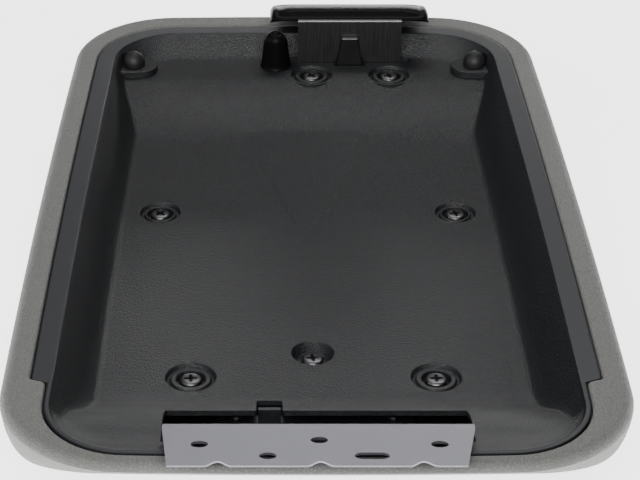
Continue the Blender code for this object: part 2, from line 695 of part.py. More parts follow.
def make_post(look):
    lower = 0.78 * POST_HEIGHT
    post = [(0, -STEM_LENGTH), (STEM_RADIUS, -STEM_LENGTH), (STEM_RADIUS, GAP),
            (POST_BASE_RADIUS + 0.8 * MM, GAP), (POST_BASE_RADIUS, 1.5 * MM),
            (0.94 * POST_BASE_RADIUS, 0.4 * POST_HEIGHT), (POST_TOP_RADIUS, lower),
            (0.8 * POST_TOP_RADIUS, 0.93 * POST_HEIGHT), (0.4 * POST_TOP_RADIUS, POST_HEIGHT),
            (0, POST_HEIGHT)]
    place = (POST_X, POST_Y, tray_height(POST_Y))
    return named(turned(post, place, facets=16), "locating_post", look, place)


# Hinge

PIN_Z = RIM_HEIGHT - PIN_DROP
HINGE_AXIS = (0, PIN_Y, PIN_Z)
KNUCKLE_INNER = PIN_RADIUS + GAP
KNUCKLE_OUTER = KNUCKLE_INNER + LEAF_THICK
KNUCKLE_GAP = 0.6 * MM
OUTER_KNUCKLE_X = PIN_HALF_LENGTH - 1.5 * MM - OUTER_KNUCKLE
LID_KNUCKLE_X = OUTER_KNUCKLE_X - KNUCKLE_GAP - LID_KNUCKLE


def tube_x(low, high, place):
    profile = [(KNUCKLE_INNER, low), (KNUCKLE_OUTER, low), (KNUCKLE_OUTER, high),
               (KNUCKLE_INNER, high)]
    return turned(profile, place, axis="X", facets=16)


def knuckle_core(low, high):
    """Clears the bore of a knuckle after its leaf has been joined to it."""
    return rod(KNUCKLE_INNER, low - 1 * MM, high + 1 * MM, HINGE_AXIS, axis="X", facets=16)


def make_hinge_plate(look):
    bend_z = RIM_HEIGHT + LEAF_BEND_RISE
    leg_near = PIN_Y - KNUCKLE_OUTER
    leg_far = leg_near + LEAF_THICK
    run, rise = LEAF_DEPTH * math.cos(LEAF_TILT), LEAF_DEPTH * math.sin(LEAF_TILT)
    up_y, up_z = LEAF_THICK * math.sin(LEAF_TILT), LEAF_THICK * math.cos(LEAF_TILT)
    bend = 1.6 * MM
    slope = math.tan(LEAF_TILT)
    flat = [(leg_near - bend, bend_z - up_z + (bend - up_y) * slope),
            (leg_near, bend_z - up_z - bend), (leg_near, PIN_Z), (leg_far, PIN_Z),
            (leg_far, bend_z - bend), (leg_far - bend, bend_z + (bend - LEAF_THICK) * slope),
            (leg_near - run, bend_z + rise), (leg_near - run - up_y, bend_z + rise - up_z)]
    plate = prism(flat, -LEAF_HALF_WIDTH, LEAF_HALF_WIDTH)

    outer_end = OUTER_KNUCKLE_X + OUTER_KNUCKLE
    knuckles = [(-outer_end, -OUTER_KNUCKLE_X), (-MIDDLE_KNUCKLE / 2, MIDDLE_KNUCKLE / 2),
                (OUTER_KNUCKLE_X, outer_end)]
    # the leg is cut back between the knuckles, and narrower than the slot outside them
    beyond = LEAF_HALF_WIDTH + 1 * MM
    edges = [-beyond] + [x for pair in knuckles for x in pair] + [beyond]
    leg_low, leg_high = PIN_Z - 1 * MM, PIN_Z + KNUCKLE_OUTER + 1 * MM
    cuts = [box((a, leg_near - 1 * MM, leg_low), (b, leg_far + 1 * MM, leg_high))
            for a, b in zip(edges[0::2], edges[1::2])]
    combine(plate, cuts, "DIFFERENCE")
    combine(plate, [tube_x(a, b, HINGE_AXIS) for a, b in knuckles], "UNION")

    # plan of the flat: narrower at its near edge, with three notches
    near_y, far_y = leg_near - run - 2 * MM, leg_near - 4 * MM
    low, high = RIM_HEIGHT - 2 * MM, RIM_HEIGHT + 30 * MM
    wide = LEAF_HALF_WIDTH
    cuts = []
    for side, narrowing in ((-1, LEAF_NARROWING_LEFT), (1, LEAF_NARROWING_RIGHT)):
        slim = wide - narrowing
        points = [(side * wide, far_y), (side * (wide + 9 * MM), far_y),
                  (side * (wide + 9 * MM), near_y), (side * slim, near_y)]
        cuts.append(prism(points, low, high, axis="Z"))
    for k in (-1, 0, 1):
        x = k * NOTCH_SPACING
        half, deep = NOTCH_HALF_WIDTH, leg_near - run + NOTCH_DEPTH
        lip = leg_near - run - 3 * MM
        points = [(x - 1.9 * half, lip), (x - half, leg_near - run + 0.5 * MM),
                  (x - 0.25 * half, deep), (x + 0.25 * half, deep),
                  (x + half, leg_near - run + 0.5 * MM), (x + 1.9 * half, lip)]
        cuts.append(prism(points, low, high, axis="Z"))
    combine(plate, cuts, "DIFFERENCE")

    # holes, square to the flat: (x, distance from the bend)
    turn = Matrix.Rotation(-LEAF_TILT, 4, "X")
    holes = [(-50 * MM, 22.7 * MM), (50 * MM, 22.7 * MM), (0, 18 * MM), (-21.5 * MM, 35.5 * MM)]
    tools = [rod(BOLT_HOLE_RADIUS, -6 * MM, 6 * MM, (x, -away, 0), facets=16) for x, away in holes]
    slot_y = -35.5 * MM
    slot_x = 21.3 * MM
    turns = [math.radians(90 + 22.5 * i) for i in range(9)]
    points = [(slot_x - SLOT_HOLE_HALF_LENGTH + BOLT_HOLE_RADIUS * math.cos(a),
               slot_y + BOLT_HOLE_RADIUS * math.sin(a)) for a in turns]
    points += [(slot_x + SLOT_HOLE_HALF_LENGTH - BOLT_HOLE_RADIUS * math.cos(a),
                slot_y - BOLT_HOLE_RADIUS * math.sin(a)) for a in turns]
    tools.append(prism(points, -6 * MM, 6 * MM, axis="Z"))
    for tool in tools:
        placed = Matrix.Translation((0, leg_near, bend_z)) @ turn
        tool.data.transform(placed @ Matrix.Translation(tool.location))
        tool.location = (0, 0, 0)
    combine(plate, tools, "DIFFERENCE")
    return named(plate, "hinge_plate", look, HINGE_AXIS)


def make_hinge_lid_leaf(look):
    foot_z = FLOOR_HEIGHT - LID_LEAF_FOOT_DROP
    foot_far = HINGE_SCREW_Y + LID_LEAF_FOOT_FAR
    bend_y = HINGE_SCREW_Y - LID_LEAF_FOOT_NEAR
    root_y, root_z = PIN_Y + KNUCKLE_OUTER + 4.5 * MM, PIN_Z - KNUCKLE_OUTER - 2.5 * MM
    slope = math.atan2(root_z - foot_z, bend_y - root_y)
    down_y, down_z = LEAF_THICK * math.sin(slope), LEAF_THICK * math.cos(slope)
    sheet = [(root_y, root_z), (bend_y, foot_z), (foot_far, foot_z), (foot_far, foot_z - LEAF_THICK),
             (bend_y - 0.3 * MM, foot_z - LEAF_THICK), (root_y - down_y, root_z - down_z)]
    half = LID_KNUCKLE_X + LID_KNUCKLE
    leaf = prism(sheet, -half, half)
    arms = []
    for side in (-1, 1):
        low, high = sorted((side * LID_KNUCKLE_X, side * half))
        # each knuckle is joined to the sheet by a strap that runs under the pin
        strap = [(PIN_Y, PIN_Z - KNUCKLE_OUTER), (PIN_Y, PIN_Z - KNUCKLE_INNER - 0.2 * MM),
                 (PIN_Y + KNUCKLE_OUTER, PIN_Z - KNUCKLE_INNER - 0.2 * MM),
                 (root_y + 2 * MM, root_z - 1 * MM), (root_y, root_z - LEAF_THICK)]
        arms.append(prism(strap, low, high))
        arms.append(tube_x(low, high, HINGE_AXIS))
    tab_half = SIDE_NOTCH_HALF - 0.8 * MM
    arms.append(box((SIDE_NOTCH_X - tab_half, TAB_Y, foot_z - 1 * MM),
                    (SIDE_NOTCH_X + tab_half, TAB_Y + LEAF_THICK, tray_height(TAB_Y) - 1.2 * MM)))
    combine(leaf, arms, "UNION")
    cuts = [knuckle_core(-half, half)]
    for side in (-1, 1):
        cuts.append(rod(SCREW_RADIUS + GAP, foot_z - 5 * MM, foot_z + 2 * MM,
                        (side * HINGE_SCREW_X, HINGE_SCREW_Y, 0), facets=12))
    combine(leaf, cuts, "DIFFERENCE")
    return named(leaf, "hinge_lid_leaf", look)


def make_hinge_pin(look):
    end = PIN_HALF_LENGTH
    head = 1.1 * MM
    pin = [(0, -end), (PIN_RADIUS, -end), (PIN_RADIUS, end - head), (PIN_RADIUS + 1.3 * MM, end - head),
           (PIN_RADIUS + 1.3 * MM, end), (0, end)]
    return named(turned(pin, HINGE_AXIS, axis="X", facets=16), "hinge_pin", look, HINGE_AXIS)


def make_coil(name, centre, inner_radius, width, legs, look):
    """Torsion spring about X: a closed tube of wire with two straight legs (angle, length)."""
    radius = inner_radius + SPRING_WIRE
    per_turn, sides = 8, 4
    count = per_turn * SPRING_TURNS
    first, last = legs
    turn_span = 2 * math.pi * (SPRING_TURNS - 1) + (last[0] - first[0]) % (2 * math.pi)
    path = []

    def on_coil(share):
        a = first[0] + turn_span * share
        x = (share - 0.5) * (width - 2 * SPRING_WIRE)
        return Vector((x, radius * math.cos(a), radius * math.sin(a))), a

    start, a = on_coil(0)
    path.append(start + Vector((0, math.sin(a), -math.cos(a))) * first[1])
    path += [on_coil(i / count)[0] for i in range(count + 1)]
    end, a = on_coil(1)
    path.append(end + Vector((0, -math.sin(a), math.cos(a))) * last[1])
    edit = bmesh.new()
    loops = []
    for i, point in enumerate(path):
        ahead = path[min(i + 1, len(path) - 1)] - path[max(i - 1, 0)]
        ahead.normalize()
        side = Vector((1, 0, 0))
        side = (side - ahead * side.dot(ahead)).normalized()
        up = ahead.cross(side)
        turns = [2 * math.pi * k / sides for k in range(sides)]
        loops.append([edit.verts.new(Vector(centre) + point + side * SPRING_WIRE * math.cos(t)
                                     + up * SPRING_WIRE * math.sin(t)) for t in turns])
    for one, two in zip(loops, loops[1:]):
        for k in range(sides):
            j = (k + 1) % sides
            edit.faces.new((one[k], one[j], two[j], two[k]))
    edit.faces.new(loops[0])
    edit.faces.new(loops[-1])
    return named(new_object(name, edit), name, look, centre)


# Latch

LATCH_PIVOT = (LATCH_X, LATCH_Y, RIM_HEIGHT - LATCH_PIVOT_DROP)
LATCH_EYE_INNER = LATCH_PIN_RADIUS + GAP
LATCH_EYE_OUTER = LATCH_EYE_INNER + 2 * MM
LATCH_SPRING_WIDTH = 13 * MM


def make_latch_plate(look):
    half = PLATE_HALF_WIDTH
    near, far = LATCH_Y - PLATE_THICK / 2, LATCH_Y + PLATE_THICK / 2
    bottom, top = LATCH_PIVOT[2], RIM_HEIGHT + PLATE_RISE
    sheet = [(near, bottom), (far, bottom), (far, top), (near + 0.5 * MM, top), (near, top - 0.5 * MM)]
    plate = prism(sheet, LATCH_X - half, LATCH_X + half)
    gap_half = LATCH_SPRING_WIDTH / 2 + 0.5 * MM
    eyes = [rod(LATCH_EYE_OUTER, low, high, LATCH_PIVOT, axis="X", facets=16)
            for low, high in ((-half, -gap_half), (gap_half, half))]
    relief = box((LATCH_X - gap_half, near - 1 * MM, bottom - 1 * MM),
                 (LATCH_X + gap_half, far + 1 * MM, bottom + LATCH_EYE_OUTER + 1.5 * MM))
    combine(plate, [relief], "DIFFERENCE")
    combine(plate, eyes, "UNION")
    combine(plate, [rod(LATCH_EYE_INNER, -half - 1 * MM, half + 1 * MM, LATCH_PIVOT, axis="X", facets=16)],
            "DIFFERENCE")
    return named(plate, "latch_plate", look, LATCH_PIVOT)


def make_latch_hook(look):
    """Tapered tooth on the near face of the plate."""
    face = LATCH_Y - PLATE_THICK / 2 - GAP
    base = RIM_HEIGHT - SHELF_DEPTH - 2 * MM
    top = base + HOOK_HEIGHT + 2 * MM
    edit = bmesh.new()
    low = [(-HOOK_HALF_BASE, face - HOOK_REACH), (HOOK_HALF_BASE, face - HOOK_REACH),
           (HOOK_HALF_BASE, face), (-HOOK_HALF_BASE, face)]
    high = [(-HOOK_HALF_TOP, face - HOOK_TOP_REACH), (HOOK_HALF_TOP, face - HOOK_TOP_REACH),
            (HOOK_HALF_TOP, face), (-HOOK_HALF_TOP, face)]
    one = [edit.verts.new((LATCH_X + x, y, base)) for x, y in low]
    two = [edit.verts.new((LATCH_X + x, y, top)) for x, y in high]
    edit.faces.new(one)
    edit.faces.new(two)
    for i in range(4):
        j = (i + 1) % 4
        edit.faces.new((one[i], one[j], two[j], two[i]))
    return named(new_object("latch_hook", edit), "latch_hook", look, LATCH_PIVOT)


def handle_path(share):
    """The handle's section, from the plate (0) over the crest to the front edge (1)."""
    start_y = LATCH_Y + PLATE_THICK / 2 + GAP + HANDLE_THICK / 2
    start_z = RIM_HEIGHT + PLATE_RISE - 1.5 * MM
    end_y = LATCH_Y + HANDLE_REACH + 3 * MM
    end_z = RIM_HEIGHT + HANDLE_FRONT_RISE
    knees = [(start_y, start_z), (start_y + 0.75 * MM, RIM_HEIGHT + HANDLE_CREST + 4.5 * MM),
             (start_y + 15.25 * MM, RIM_HEIGHT + HANDLE_CREST), (end_y, end_z)]
    t = share
    weights = ((1 - t) ** 3, 3 * t * (1 - t) ** 2, 3 * t * t * (1 - t), t ** 3)
    return Vector((sum(w * k[0] for w, k in zip(weights, knees)),
                   sum(w * k[1] for w, k in zip(weights, knees))))


HANDLE_RINGS = (  # inset from the outline, height over the middle of the wall
    (HANDLE_END, -0.3 * MM), (5.5 * MM, -0.3 * MM), (4 * MM, 0.2 * MM), (2 * MM, 1.3 * MM),
    (0.6 * MM, 0.9 * MM), (0, 0), (0.6 * MM, -1.1 * MM), (4 * MM, -1.7 * MM), (HANDLE_END, -1.7 * MM))


def make_latch_handle(look):
    """A curved paddle with ends that bend down and a raised rim round a shallow pocket."""
    length = sum((handle_path((i + 1) / 40) - handle_path(i / 40)).length for i in range(40))
    mid = length / 2

    def on_sheet(x, along, over):
        share = min(max(along / length, 0), 1)
        point = handle_path(share)
        ahead = (handle_path(min(share + 0.01, 1)) - handle_path(max(share - 0.01, 0))).normalized()
        normal = Vector((-ahead[1], ahead[0]))
        point = point + normal * over
        bent = max(abs(x) - HANDLE_HALF_WIDTH + HANDLE_END, 0) / HANDLE_END
        droop = HANDLE_DROOP * (1 - math.sqrt(1 - bent ** 2)) * (1 - 0.8 * smooth(share))
        return (LATCH_X + x, point[0], point[1] - droop)

    def loop(inset, over):
        half, reach = HANDLE_HALF_WIDTH - inset, mid - inset
        corner = max(HANDLE_CORNER - inset, 3 * MM)
        straight = reach - corner
        right = []
        for k in range(4):
            a = math.radians(90 - 30 * k)
            right.append((half - corner + corner * math.cos(a), straight + corner * math.sin(a)))
        right += [(half, straight * (1 - k / 3)) for k in range(1, 6)]
        for k in range(4):
            a = math.radians(-30 * k)
            right.append((half - corner + corner * math.cos(a), corner * math.sin(a) - straight))
        left = [(-x, y) for x, y in right]
        return [on_sheet(x, mid + y, over) for x, y in right + left[::-1]]

    edit = bmesh.new()
    loops = [[edit.verts.new(p) for p in loop(inset, over)] for inset, over in HANDLE_RINGS]
    count = len(loops[0])
    for one, two in zip(loops, loops[1:]):
        for i in range(count):
            j = (i + 1) % count
            edit.faces.new((one[i], one[j], two[j], two[i]))
    # the pocket and the underside are closed by strips from side to side
    for edge in (loops[0], loops[-1]):
        for i in range(count // 2 - 1):
            edit.faces.new((edge[i], edge[i + 1], edge[-i - 2], edge[-i - 1]))
    return named(new_object("latch_handle", edit), "latch_handle", look, LATCH_PIVOT)


def make_latch_housing(look):
    """Moulded bracket under the shelf: a tongue held by the two far screws, and two ears."""
    seat = RIM_HEIGHT - SHELF_DEPTH - SEAT_DEPTH - SEAT_THICK - GAP
    ear_far = LATCH_Y + LATCH_EYE_OUTER + 1.5 * MM
    ear_near = LATCH_Y - LATCH_EYE_OUTER - 1.5 * MM
    ear_in = PLATE_HALF_WIDTH + 1 * MM
    ear_out = ear_in + 3 * MM
    ear_top = RIM_HEIGHT - SHELF_DEPTH - TRAY_WALL - 1 * MM
    base = LATCH_PIVOT[2] - LATCH_EYE_OUTER - 2 * MM
    step_y = ear_near - HOUSING_WALL - 1 * MM
    body = box((LATCH_X - ear_out, FAR_SCREW_Y - 8 * MM, seat - HOUSING_WALL),
               (LATCH_X + ear_out, step_y, seat))
    parts = [
        box((LATCH_X - ear_out, step_y - HOUSING_WALL, base - HOUSING_WALL),
            (LATCH_X + ear_out, step_y, seat - 0.5 * MM)),
        box((LATCH_X - ear_out, step_y - 0.5 * MM, base - HOUSING_WALL),
            (LATCH_X + ear_out, ear_far, base)),
    ]
    for side in (-1, 1):
        low, high = sorted((LATCH_X + side * ear_in, LATCH_X + side * ear_out))
        parts.append(box((low, ear_near, base - 0.5 * MM), (high, ear_far, ear_top)))
    combine(body, parts, "UNION")
    cuts = [rod(SCREW_RADIUS + GAP, seat - 6 * MM, seat + 2 * MM,
                (LATCH_X + side * FAR_SCREW_SPREAD, FAR_SCREW_Y, 0), facets=12) for side in (-1, 1)]
    cuts.append(rod(LATCH_PIN_RADIUS + GAP, -ear_out - 1 * MM, ear_out + 1 * MM, LATCH_PIVOT,
                    axis="X", facets=16))
    combine(body, cuts, "DIFFERENCE")
    return named(body, "latch_housing", look)


def make_latch_pin(look):
    end = PLATE_HALF_WIDTH + 5 * MM
    pin = rod(LATCH_PIN_RADIUS, -end, end, LATCH_PIVOT, axis="X", facets=16)
    return named(pin, "latch_pivot_pin", look, LATCH_PIVOT)


def build():
    clear_scene()
    vinyl = material("grey grained vinyl", (0.19, 0.185, 0.175), 0.6)
    foam = material("cut foam", (0.62, 0.58, 0.42), 0.9)
    tray = material("black grained plastic", (0.02, 0.02, 0.022), 0.5)
    carrier = material("moulded carrier plastic", (0.045, 0.045, 0.05), 0.6)
    gloss = material("gloss black plastic", (0.008, 0.008, 0.009), 0.15)
    zinc = material("zinc plated steel", (0.5, 0.51, 0.54), 0.38, 1.0)
    dark_steel = material("black coated steel", (0.05, 0.05, 0.052), 0.4, 1.0)
    bright = material("bright steel", (0.62, 0.62, 0.6), 0.25, 1.0)
    rubber = material("black rubber", (0.015, 0.015, 0.015), 0.7)

    make_cover_skin(vinyl)
    make_foam_pad(foam)
    make_top_shell(carrier)
    make_inner_liner(tray)
    for name, x, y, seat, _ in SCREWS:
        place = (x, y, tray_height(y) - seat)
        make_screw(name, place, screw_length(seat), HEAD_RADIUS, HEAD_HEIGHT, bright)
    left, right, _ = stem_places()
    make_bumper("corner_bumper_left", left, rubber)
    make_bumper("corner_bumper_right", right, rubber)
    make_post(gloss)

    swing = bpy.data.objects.new("hinge_axis", None)
    swing.location = HINGE_AXIS
    tip = bpy.data.objects.new("latch_axis", None)
    tip.location = LATCH_PIVOT
    for empty in (swing, tip):
        bpy.context.scene.collection.objects.link(empty)

    swinging = [make_hinge_plate(zinc)]
    make_hinge_lid_leaf(dark_steel)
    make_hinge_pin(bright)
    inner = PIN_RADIUS + 0.5 * MM
    width = LID_KNUCKLE_X - MIDDLE_KNUCKLE / 2 - 2 * KNUCKLE_GAP
    for name, side in (("hinge_spring_left", -1), ("hinge_spring_right", 1)):
        middle = side * (LID_KNUCKLE_X + MIDDLE_KNUCKLE / 2) / 2
        legs = ((math.radians(100), 3 * MM), (math.radians(210), 3 * MM))
        make_coil(name, (middle, PIN_Y, PIN_Z), inner, width, legs, bright)
    leaf_top = FLOOR_HEIGHT - LID_LEAF_FOOT_DROP
    for name, side in (("hinge_screw_left", -1), ("hinge_screw_right", 1)):
        make_screw(name, (side * HINGE_SCREW_X, HINGE_SCREW_Y, leaf_top), HINGE_SCREW_LENGTH,
                   HINGE_HEAD_RADIUS, HINGE_HEAD_HEIGHT, bright)

    tipping = [make_latch_plate(dark_steel), make_latch_hook(gloss), make_latch_handle(gloss)]
    make_latch_housing(carrier)
    make_latch_pin(bright)
    legs = ((math.radians(200), 2 * MM), (math.radians(300), 2 * MM))
    make_coil("latch_return_spring", LATCH_PIVOT, LATCH_PIN_RADIUS + 0.5 * MM, LATCH_SPRING_WIDTH, legs,
              bright)

    bpy.context.view_layer.update()
    for axis, pieces in ((swing, swinging), (tip, tipping)):
        for piece in pieces:
            piece.parent = axis
            piece.location = (0, 0, 0)


build()
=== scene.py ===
import math

import bmesh
import bpy
from mathutils import Matrix, Vector


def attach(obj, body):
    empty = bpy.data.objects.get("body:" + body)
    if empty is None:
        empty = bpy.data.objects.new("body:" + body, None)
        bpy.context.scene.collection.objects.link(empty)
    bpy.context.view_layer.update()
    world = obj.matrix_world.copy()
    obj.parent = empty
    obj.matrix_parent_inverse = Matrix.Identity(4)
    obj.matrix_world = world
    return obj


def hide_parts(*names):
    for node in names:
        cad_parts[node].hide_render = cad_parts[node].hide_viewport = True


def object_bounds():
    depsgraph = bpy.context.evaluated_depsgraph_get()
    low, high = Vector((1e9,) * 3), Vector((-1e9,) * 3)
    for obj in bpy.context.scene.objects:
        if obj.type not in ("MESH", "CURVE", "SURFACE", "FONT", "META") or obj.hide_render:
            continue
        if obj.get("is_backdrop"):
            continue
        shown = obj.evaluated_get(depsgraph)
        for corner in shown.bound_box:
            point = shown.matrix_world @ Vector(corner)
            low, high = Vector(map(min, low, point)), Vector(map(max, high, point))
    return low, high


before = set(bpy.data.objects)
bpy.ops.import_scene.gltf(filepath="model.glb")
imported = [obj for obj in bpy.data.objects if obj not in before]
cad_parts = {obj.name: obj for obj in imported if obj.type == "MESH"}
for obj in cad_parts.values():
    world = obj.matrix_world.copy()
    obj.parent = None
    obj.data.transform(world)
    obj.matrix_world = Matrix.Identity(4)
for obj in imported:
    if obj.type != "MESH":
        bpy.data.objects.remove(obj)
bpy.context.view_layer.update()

# Camera, floor and light.
# The lid lies on a pale table and is seen from its hinge end, 30 degrees from above.
# Broad soft lamps stand behind it, before it, over it and on its left, and one lies low behind it,
# so that the near ramp is brighter than the floor of the tray.

MM = 0.001
RIM = 60 * MM                   # rim of the lid above the table

camera = bpy.data.objects.new("camera", bpy.data.cameras.new("camera"))
camera.data.sensor_width = 36
camera.data.lens = 116.04
camera.data.shift_x = 0.083
camera.data.clip_start = 0.05
camera.location = (-0.0219, -0.9186, 0.572)
camera.rotation_euler = (math.radians(59.87), 0, 0)
bpy.context.scene.collection.objects.link(camera)
bpy.context.scene.camera = camera


def linear(hex_colour):
    """An sRGB hex colour as Blender's linear values."""
    parts = [int(hex_colour[i:i + 2], 16) / 255 for i in (1, 3, 5)]
    return (*(v / 12.92 if v <= 0.04045 else ((v + 0.055) / 1.055) ** 2.4 for v in parts), 1.0)


def add(tree, kind, settings=None, **links):
    """Adds a node. Settings are attributes; links are its sockets by name, as a value or an output."""
    node = tree.nodes.new(kind)
    for key, value in (settings or {}).items():
        setattr(node, key, value)
    for key, value in links.items():
        wanted = key.replace("_", " ").lower()
        socket = next(s for s in node.inputs if s.enabled and s.name.lower() == wanted)
        if isinstance(value, bpy.types.NodeSocket):
            tree.links.new(value, socket)
        else:
            socket.default_value = value
    return node


def surface(name, **settings):
    """A new material; returns it, its tree, its Principled shader and the piece's own coordinates."""
    made = bpy.data.materials.new(name)
    made.use_nodes = True
    shader = made.node_tree.nodes["Principled BSDF"]
    for key, value in settings.items():
        shader.inputs[key.replace("_", " ")].default_value = value
    return made, made.node_tree, shader, add(made.node_tree, "ShaderNodeTexCoord").outputs["Object"]


def feed(shader, **outputs):
    """Links nodes' outputs to the shader's sockets, by name."""
    for key, output in outputs.items():
        shader.id_data.links.new(output, shader.inputs[key.replace("_", " ")])


def area_lamp(name, place, aim, size, power):
    """A broad white lamp, turned towards a point."""
    lamp = bpy.data.objects.new(name, bpy.data.lights.new(name, "AREA"))
    lamp.data.shape = "RECTANGLE"
    lamp.data.size, lamp.data.size_y = size
    lamp.data.energy = power
    lamp.location = place
    lamp.rotation_euler = (Vector(aim) - Vector(place)).to_track_quat("-Z", "Y").to_euler()
    bpy.context.scene.collection.objects.link(lamp)


area_lamp("lamp_far", (0.25, 1.0, 1.5), (0, -0.1, 0), (1.2, 0.3), 11)
area_lamp("lamp_low", (0.25, 1.7, 0.28), (0, -0.2, 0.05), (1.2, 0.12), 5)
area_lamp("lamp_front", (-0.1, -1.4, 1.1), (0, 0, 0), (1.4, 0.7), 42)
area_lamp("lamp_over", (-0.2, -0.2, 1.8), (0, 0, 0), (0.8, 0.6), 4)
area_lamp("lamp_left", (-1.5, -0.4, 0.9), (0, 0, 0), (0.8, 0.8), 7)

world = bpy.data.worlds.new("studio")
world.use_nodes = True
world.node_tree.nodes["Background"].inputs["Color"].default_value = linear("#f4f5f7")
world.node_tree.nodes["Background"].inputs["Strength"].default_value = 0.15
bpy.context.scene.world = world

edit = bmesh.new()
bmesh.ops.create_grid(edit, x_segments=4, y_segments=4, size=4)
floor = bpy.data.objects.new("table_top", bpy.data.meshes.new("table_top"))
edit.to_mesh(floor.data)
edit.free()
bpy.context.scene.collection.objects.link(floor)
table_look, tree, shader, place = surface("matt white laminate", Base_Color=linear("#fbfbfb"),
                                          Emission_Color=linear("#ffffff"), Emission_Strength=2.6)
cloud = add(tree, "ShaderNodeTexNoise", Vector=place, Scale=3.0, Detail=2.0)
spread = add(tree, "ShaderNodeMapRange", Value=cloud.outputs[0], To_Min=0.58, To_Max=0.64)
feed(shader, Roughness=spread.outputs[0])
floor.data.materials.append(table_look)
floor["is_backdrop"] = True

# Vinyl cover.
# Grained vinyl, backed with foam, is wrapped over the lid's crown and round its rim, and tucked
# under the tray's flange. Its outside follows the plan of the pad and rolls over at the rim.

SKIN = 1.4 * MM
STEP_NEAR, STEP_FAR = -162 * MM, -158 * MM      # where the band of vinyl widens at the hinge end
PAD = (140, 6, 224, 238.5, 58, 55)              # half width, taper, near, far, near and far corner
MOUTH = (117, 6, 213.8, 211, 34, 35)            # the same for the tray's mouth
FLANGE = (9.5, 2.2, 9.5)                        # the flange beyond the mouth: side, near, far
BOW = 3 * MM                                    # how far each end bulges in the middle
TIGHTEST = 8 * MM                               # smallest radius of a corner in plan
STRAIGHT = 324 * MM                             # length of the side beyond the step
ARC_STEPS, SIDE_STEPS, END_STEPS = 14, 40, 9


def eased(share):
    """A share from 0 to 1, with a soft start and a soft end."""
    share = min(max(share, 0), 1)
    return share * share * (3 - 2 * share)


def corner(start, knee, end):
    """A round arc between two points, by the knee between them."""
    weight = math.cos(math.pi / 4)
    found = []
    for i in range(ARC_STEPS + 1):
        t = i / ARC_STEPS
        a, b, c = (1 - t) ** 2, 2 * weight * t * (1 - t), t * t
        found.append([(a * start[k] + b * knee[k] + c * end[k]) / (a + b + c) for k in (0, 1)])
    return found


def plan_loop(plan, side, near, far, near_side=None):
    """A closed plan outline set in on each side, as (x, y, share of side, share of near end)."""
    half, taper, near_end, far_end, near_round, far_round = (v * MM for v in plan)
    near_side = side if near_side is None else near_side
    half_near, half_mid = half - near_side, half - side
    half_far = half_mid - taper
    y_near, y_far = near - near_end, far_end - far
    r_near = max(near_round - max(near, near_side), TIGHTEST)
    r_far = max(far_round - max(far, side), TIGHTEST)
    start, end = y_near + BOW + r_near, y_far - BOW - r_far

    def across(half_there, radius, y, sign):
        """Half of a bowed end, from its middle to where the corner begins."""
        return [[(half_there - radius) * i / END_STEPS,
                 y + sign * BOW * ((half_there - radius) * i / END_STEPS / half_there) ** 2]
                for i in range(END_STEPS + 1)]

    near_row = across(half_near, r_near, y_near, 1)
    right = [p + [0, 1] for p in near_row[:-1]]
    arc = corner(near_row[-1], (half_near, y_near + BOW), (half_near, start))
    right += [p + [k / ARC_STEPS, 1 - k / ARC_STEPS] for k, p in enumerate(arc)]
    stations = [STEP_NEAR, STEP_NEAR + 0.8 * MM, STEP_FAR - 0.8 * MM, STEP_FAR]
    stations += [STEP_FAR + STRAIGHT * k / SIDE_STEPS for k in range(1, SIDE_STEPS + 1)]
    for k, y in enumerate(stations):
        y = min(max(y, start + 0.1 * MM * (k + 1)), end - 0.1 * MM * (len(stations) - k))
        wide = half_mid - taper * ((y - start) / (end - start)) ** 2
        ease = eased((y - STEP_NEAR) / (STEP_FAR - STEP_NEAR))
        right.append([half_near + (wide - half_near) * ease, y, 1, 0])
    far_row = across(half_far, r_far, y_far, -1)
    arc = corner((half_far, end), (half_far, y_far - BOW), far_row[-1])
    right += [p + [1 - k / ARC_STEPS, 0] for k, p in enumerate(arc)]
    right += [p + [0, 0] for p in far_row[-2::-1]]
    return right + [[-x, y, s, n] for x, y, s, n in right[-2:0:-1]]


def level(plan, side, near, far, near_side=None):
    """A loop of points; each of side, near and far is (inset, height)."""
    return [(x, y, s * side[1] + n * near[1] + (1 - s - n) * far[1])
            for x, y, s, n in plan_loop(plan, side[0], near[0], far[0], near_side)]


def sleeve(name, loops):
    """A closed mesh through loops with as many points each."""
    edit = bmesh.new()
    rows = [[edit.verts.new(p) for p in loop] for loop in loops]
    count = len(rows[0])
    for one, two in zip(rows, rows[1:]):
        for i in range(count):
            edit.faces.new((one[i], one[(i + 1) % count], two[(i + 1) % count], two[i]))
    for row in (rows[0], rows[-1]):
        middle = edit.verts.new(sum((v.co for v in row), Vector()) / count)
        for i in range(count):
            edit.faces.new((row[i], row[(i + 1) % count], middle))
    bmesh.ops.recalc_face_normals(edit, faces=edit.faces)
    return as_object(name, edit)


def as_object(name, edit):
    """The mesh being edited, as an object of the scene."""
    made = bpy.data.objects.new(name, bpy.data.meshes.new(name))
    edit.to_mesh(made.data)
    edit.free()
    bpy.context.scene.collection.objects.link(made)
    return made


def smoothed(rows, steps=5):
    """Points of a smooth line through the rows, as (inset, height)."""
    found = []
    for i in range(len(rows) - 1):
        before, after = rows[max(i - 1, 0)], rows[min(i + 2, len(rows) - 1)]
        one, two = rows[i], rows[i + 1]
        for k in range(steps):
            t = k / steps
            point = []
            for j in (0, 1):
                a, b = (two[j] - before[j]) / 2, (after[j] - one[j]) / 2
                point.append((2 * t ** 3 - 3 * t ** 2 + 1) * one[j] + (t ** 3 - 2 * t ** 2 + t) * a
                             + (3 * t ** 2 - 2 * t ** 3) * two[j] + (t ** 3 - t ** 2) * b)
            found.append((max(point[0], 0), max(point[1], 0)))
    return found + [rows[-1]]


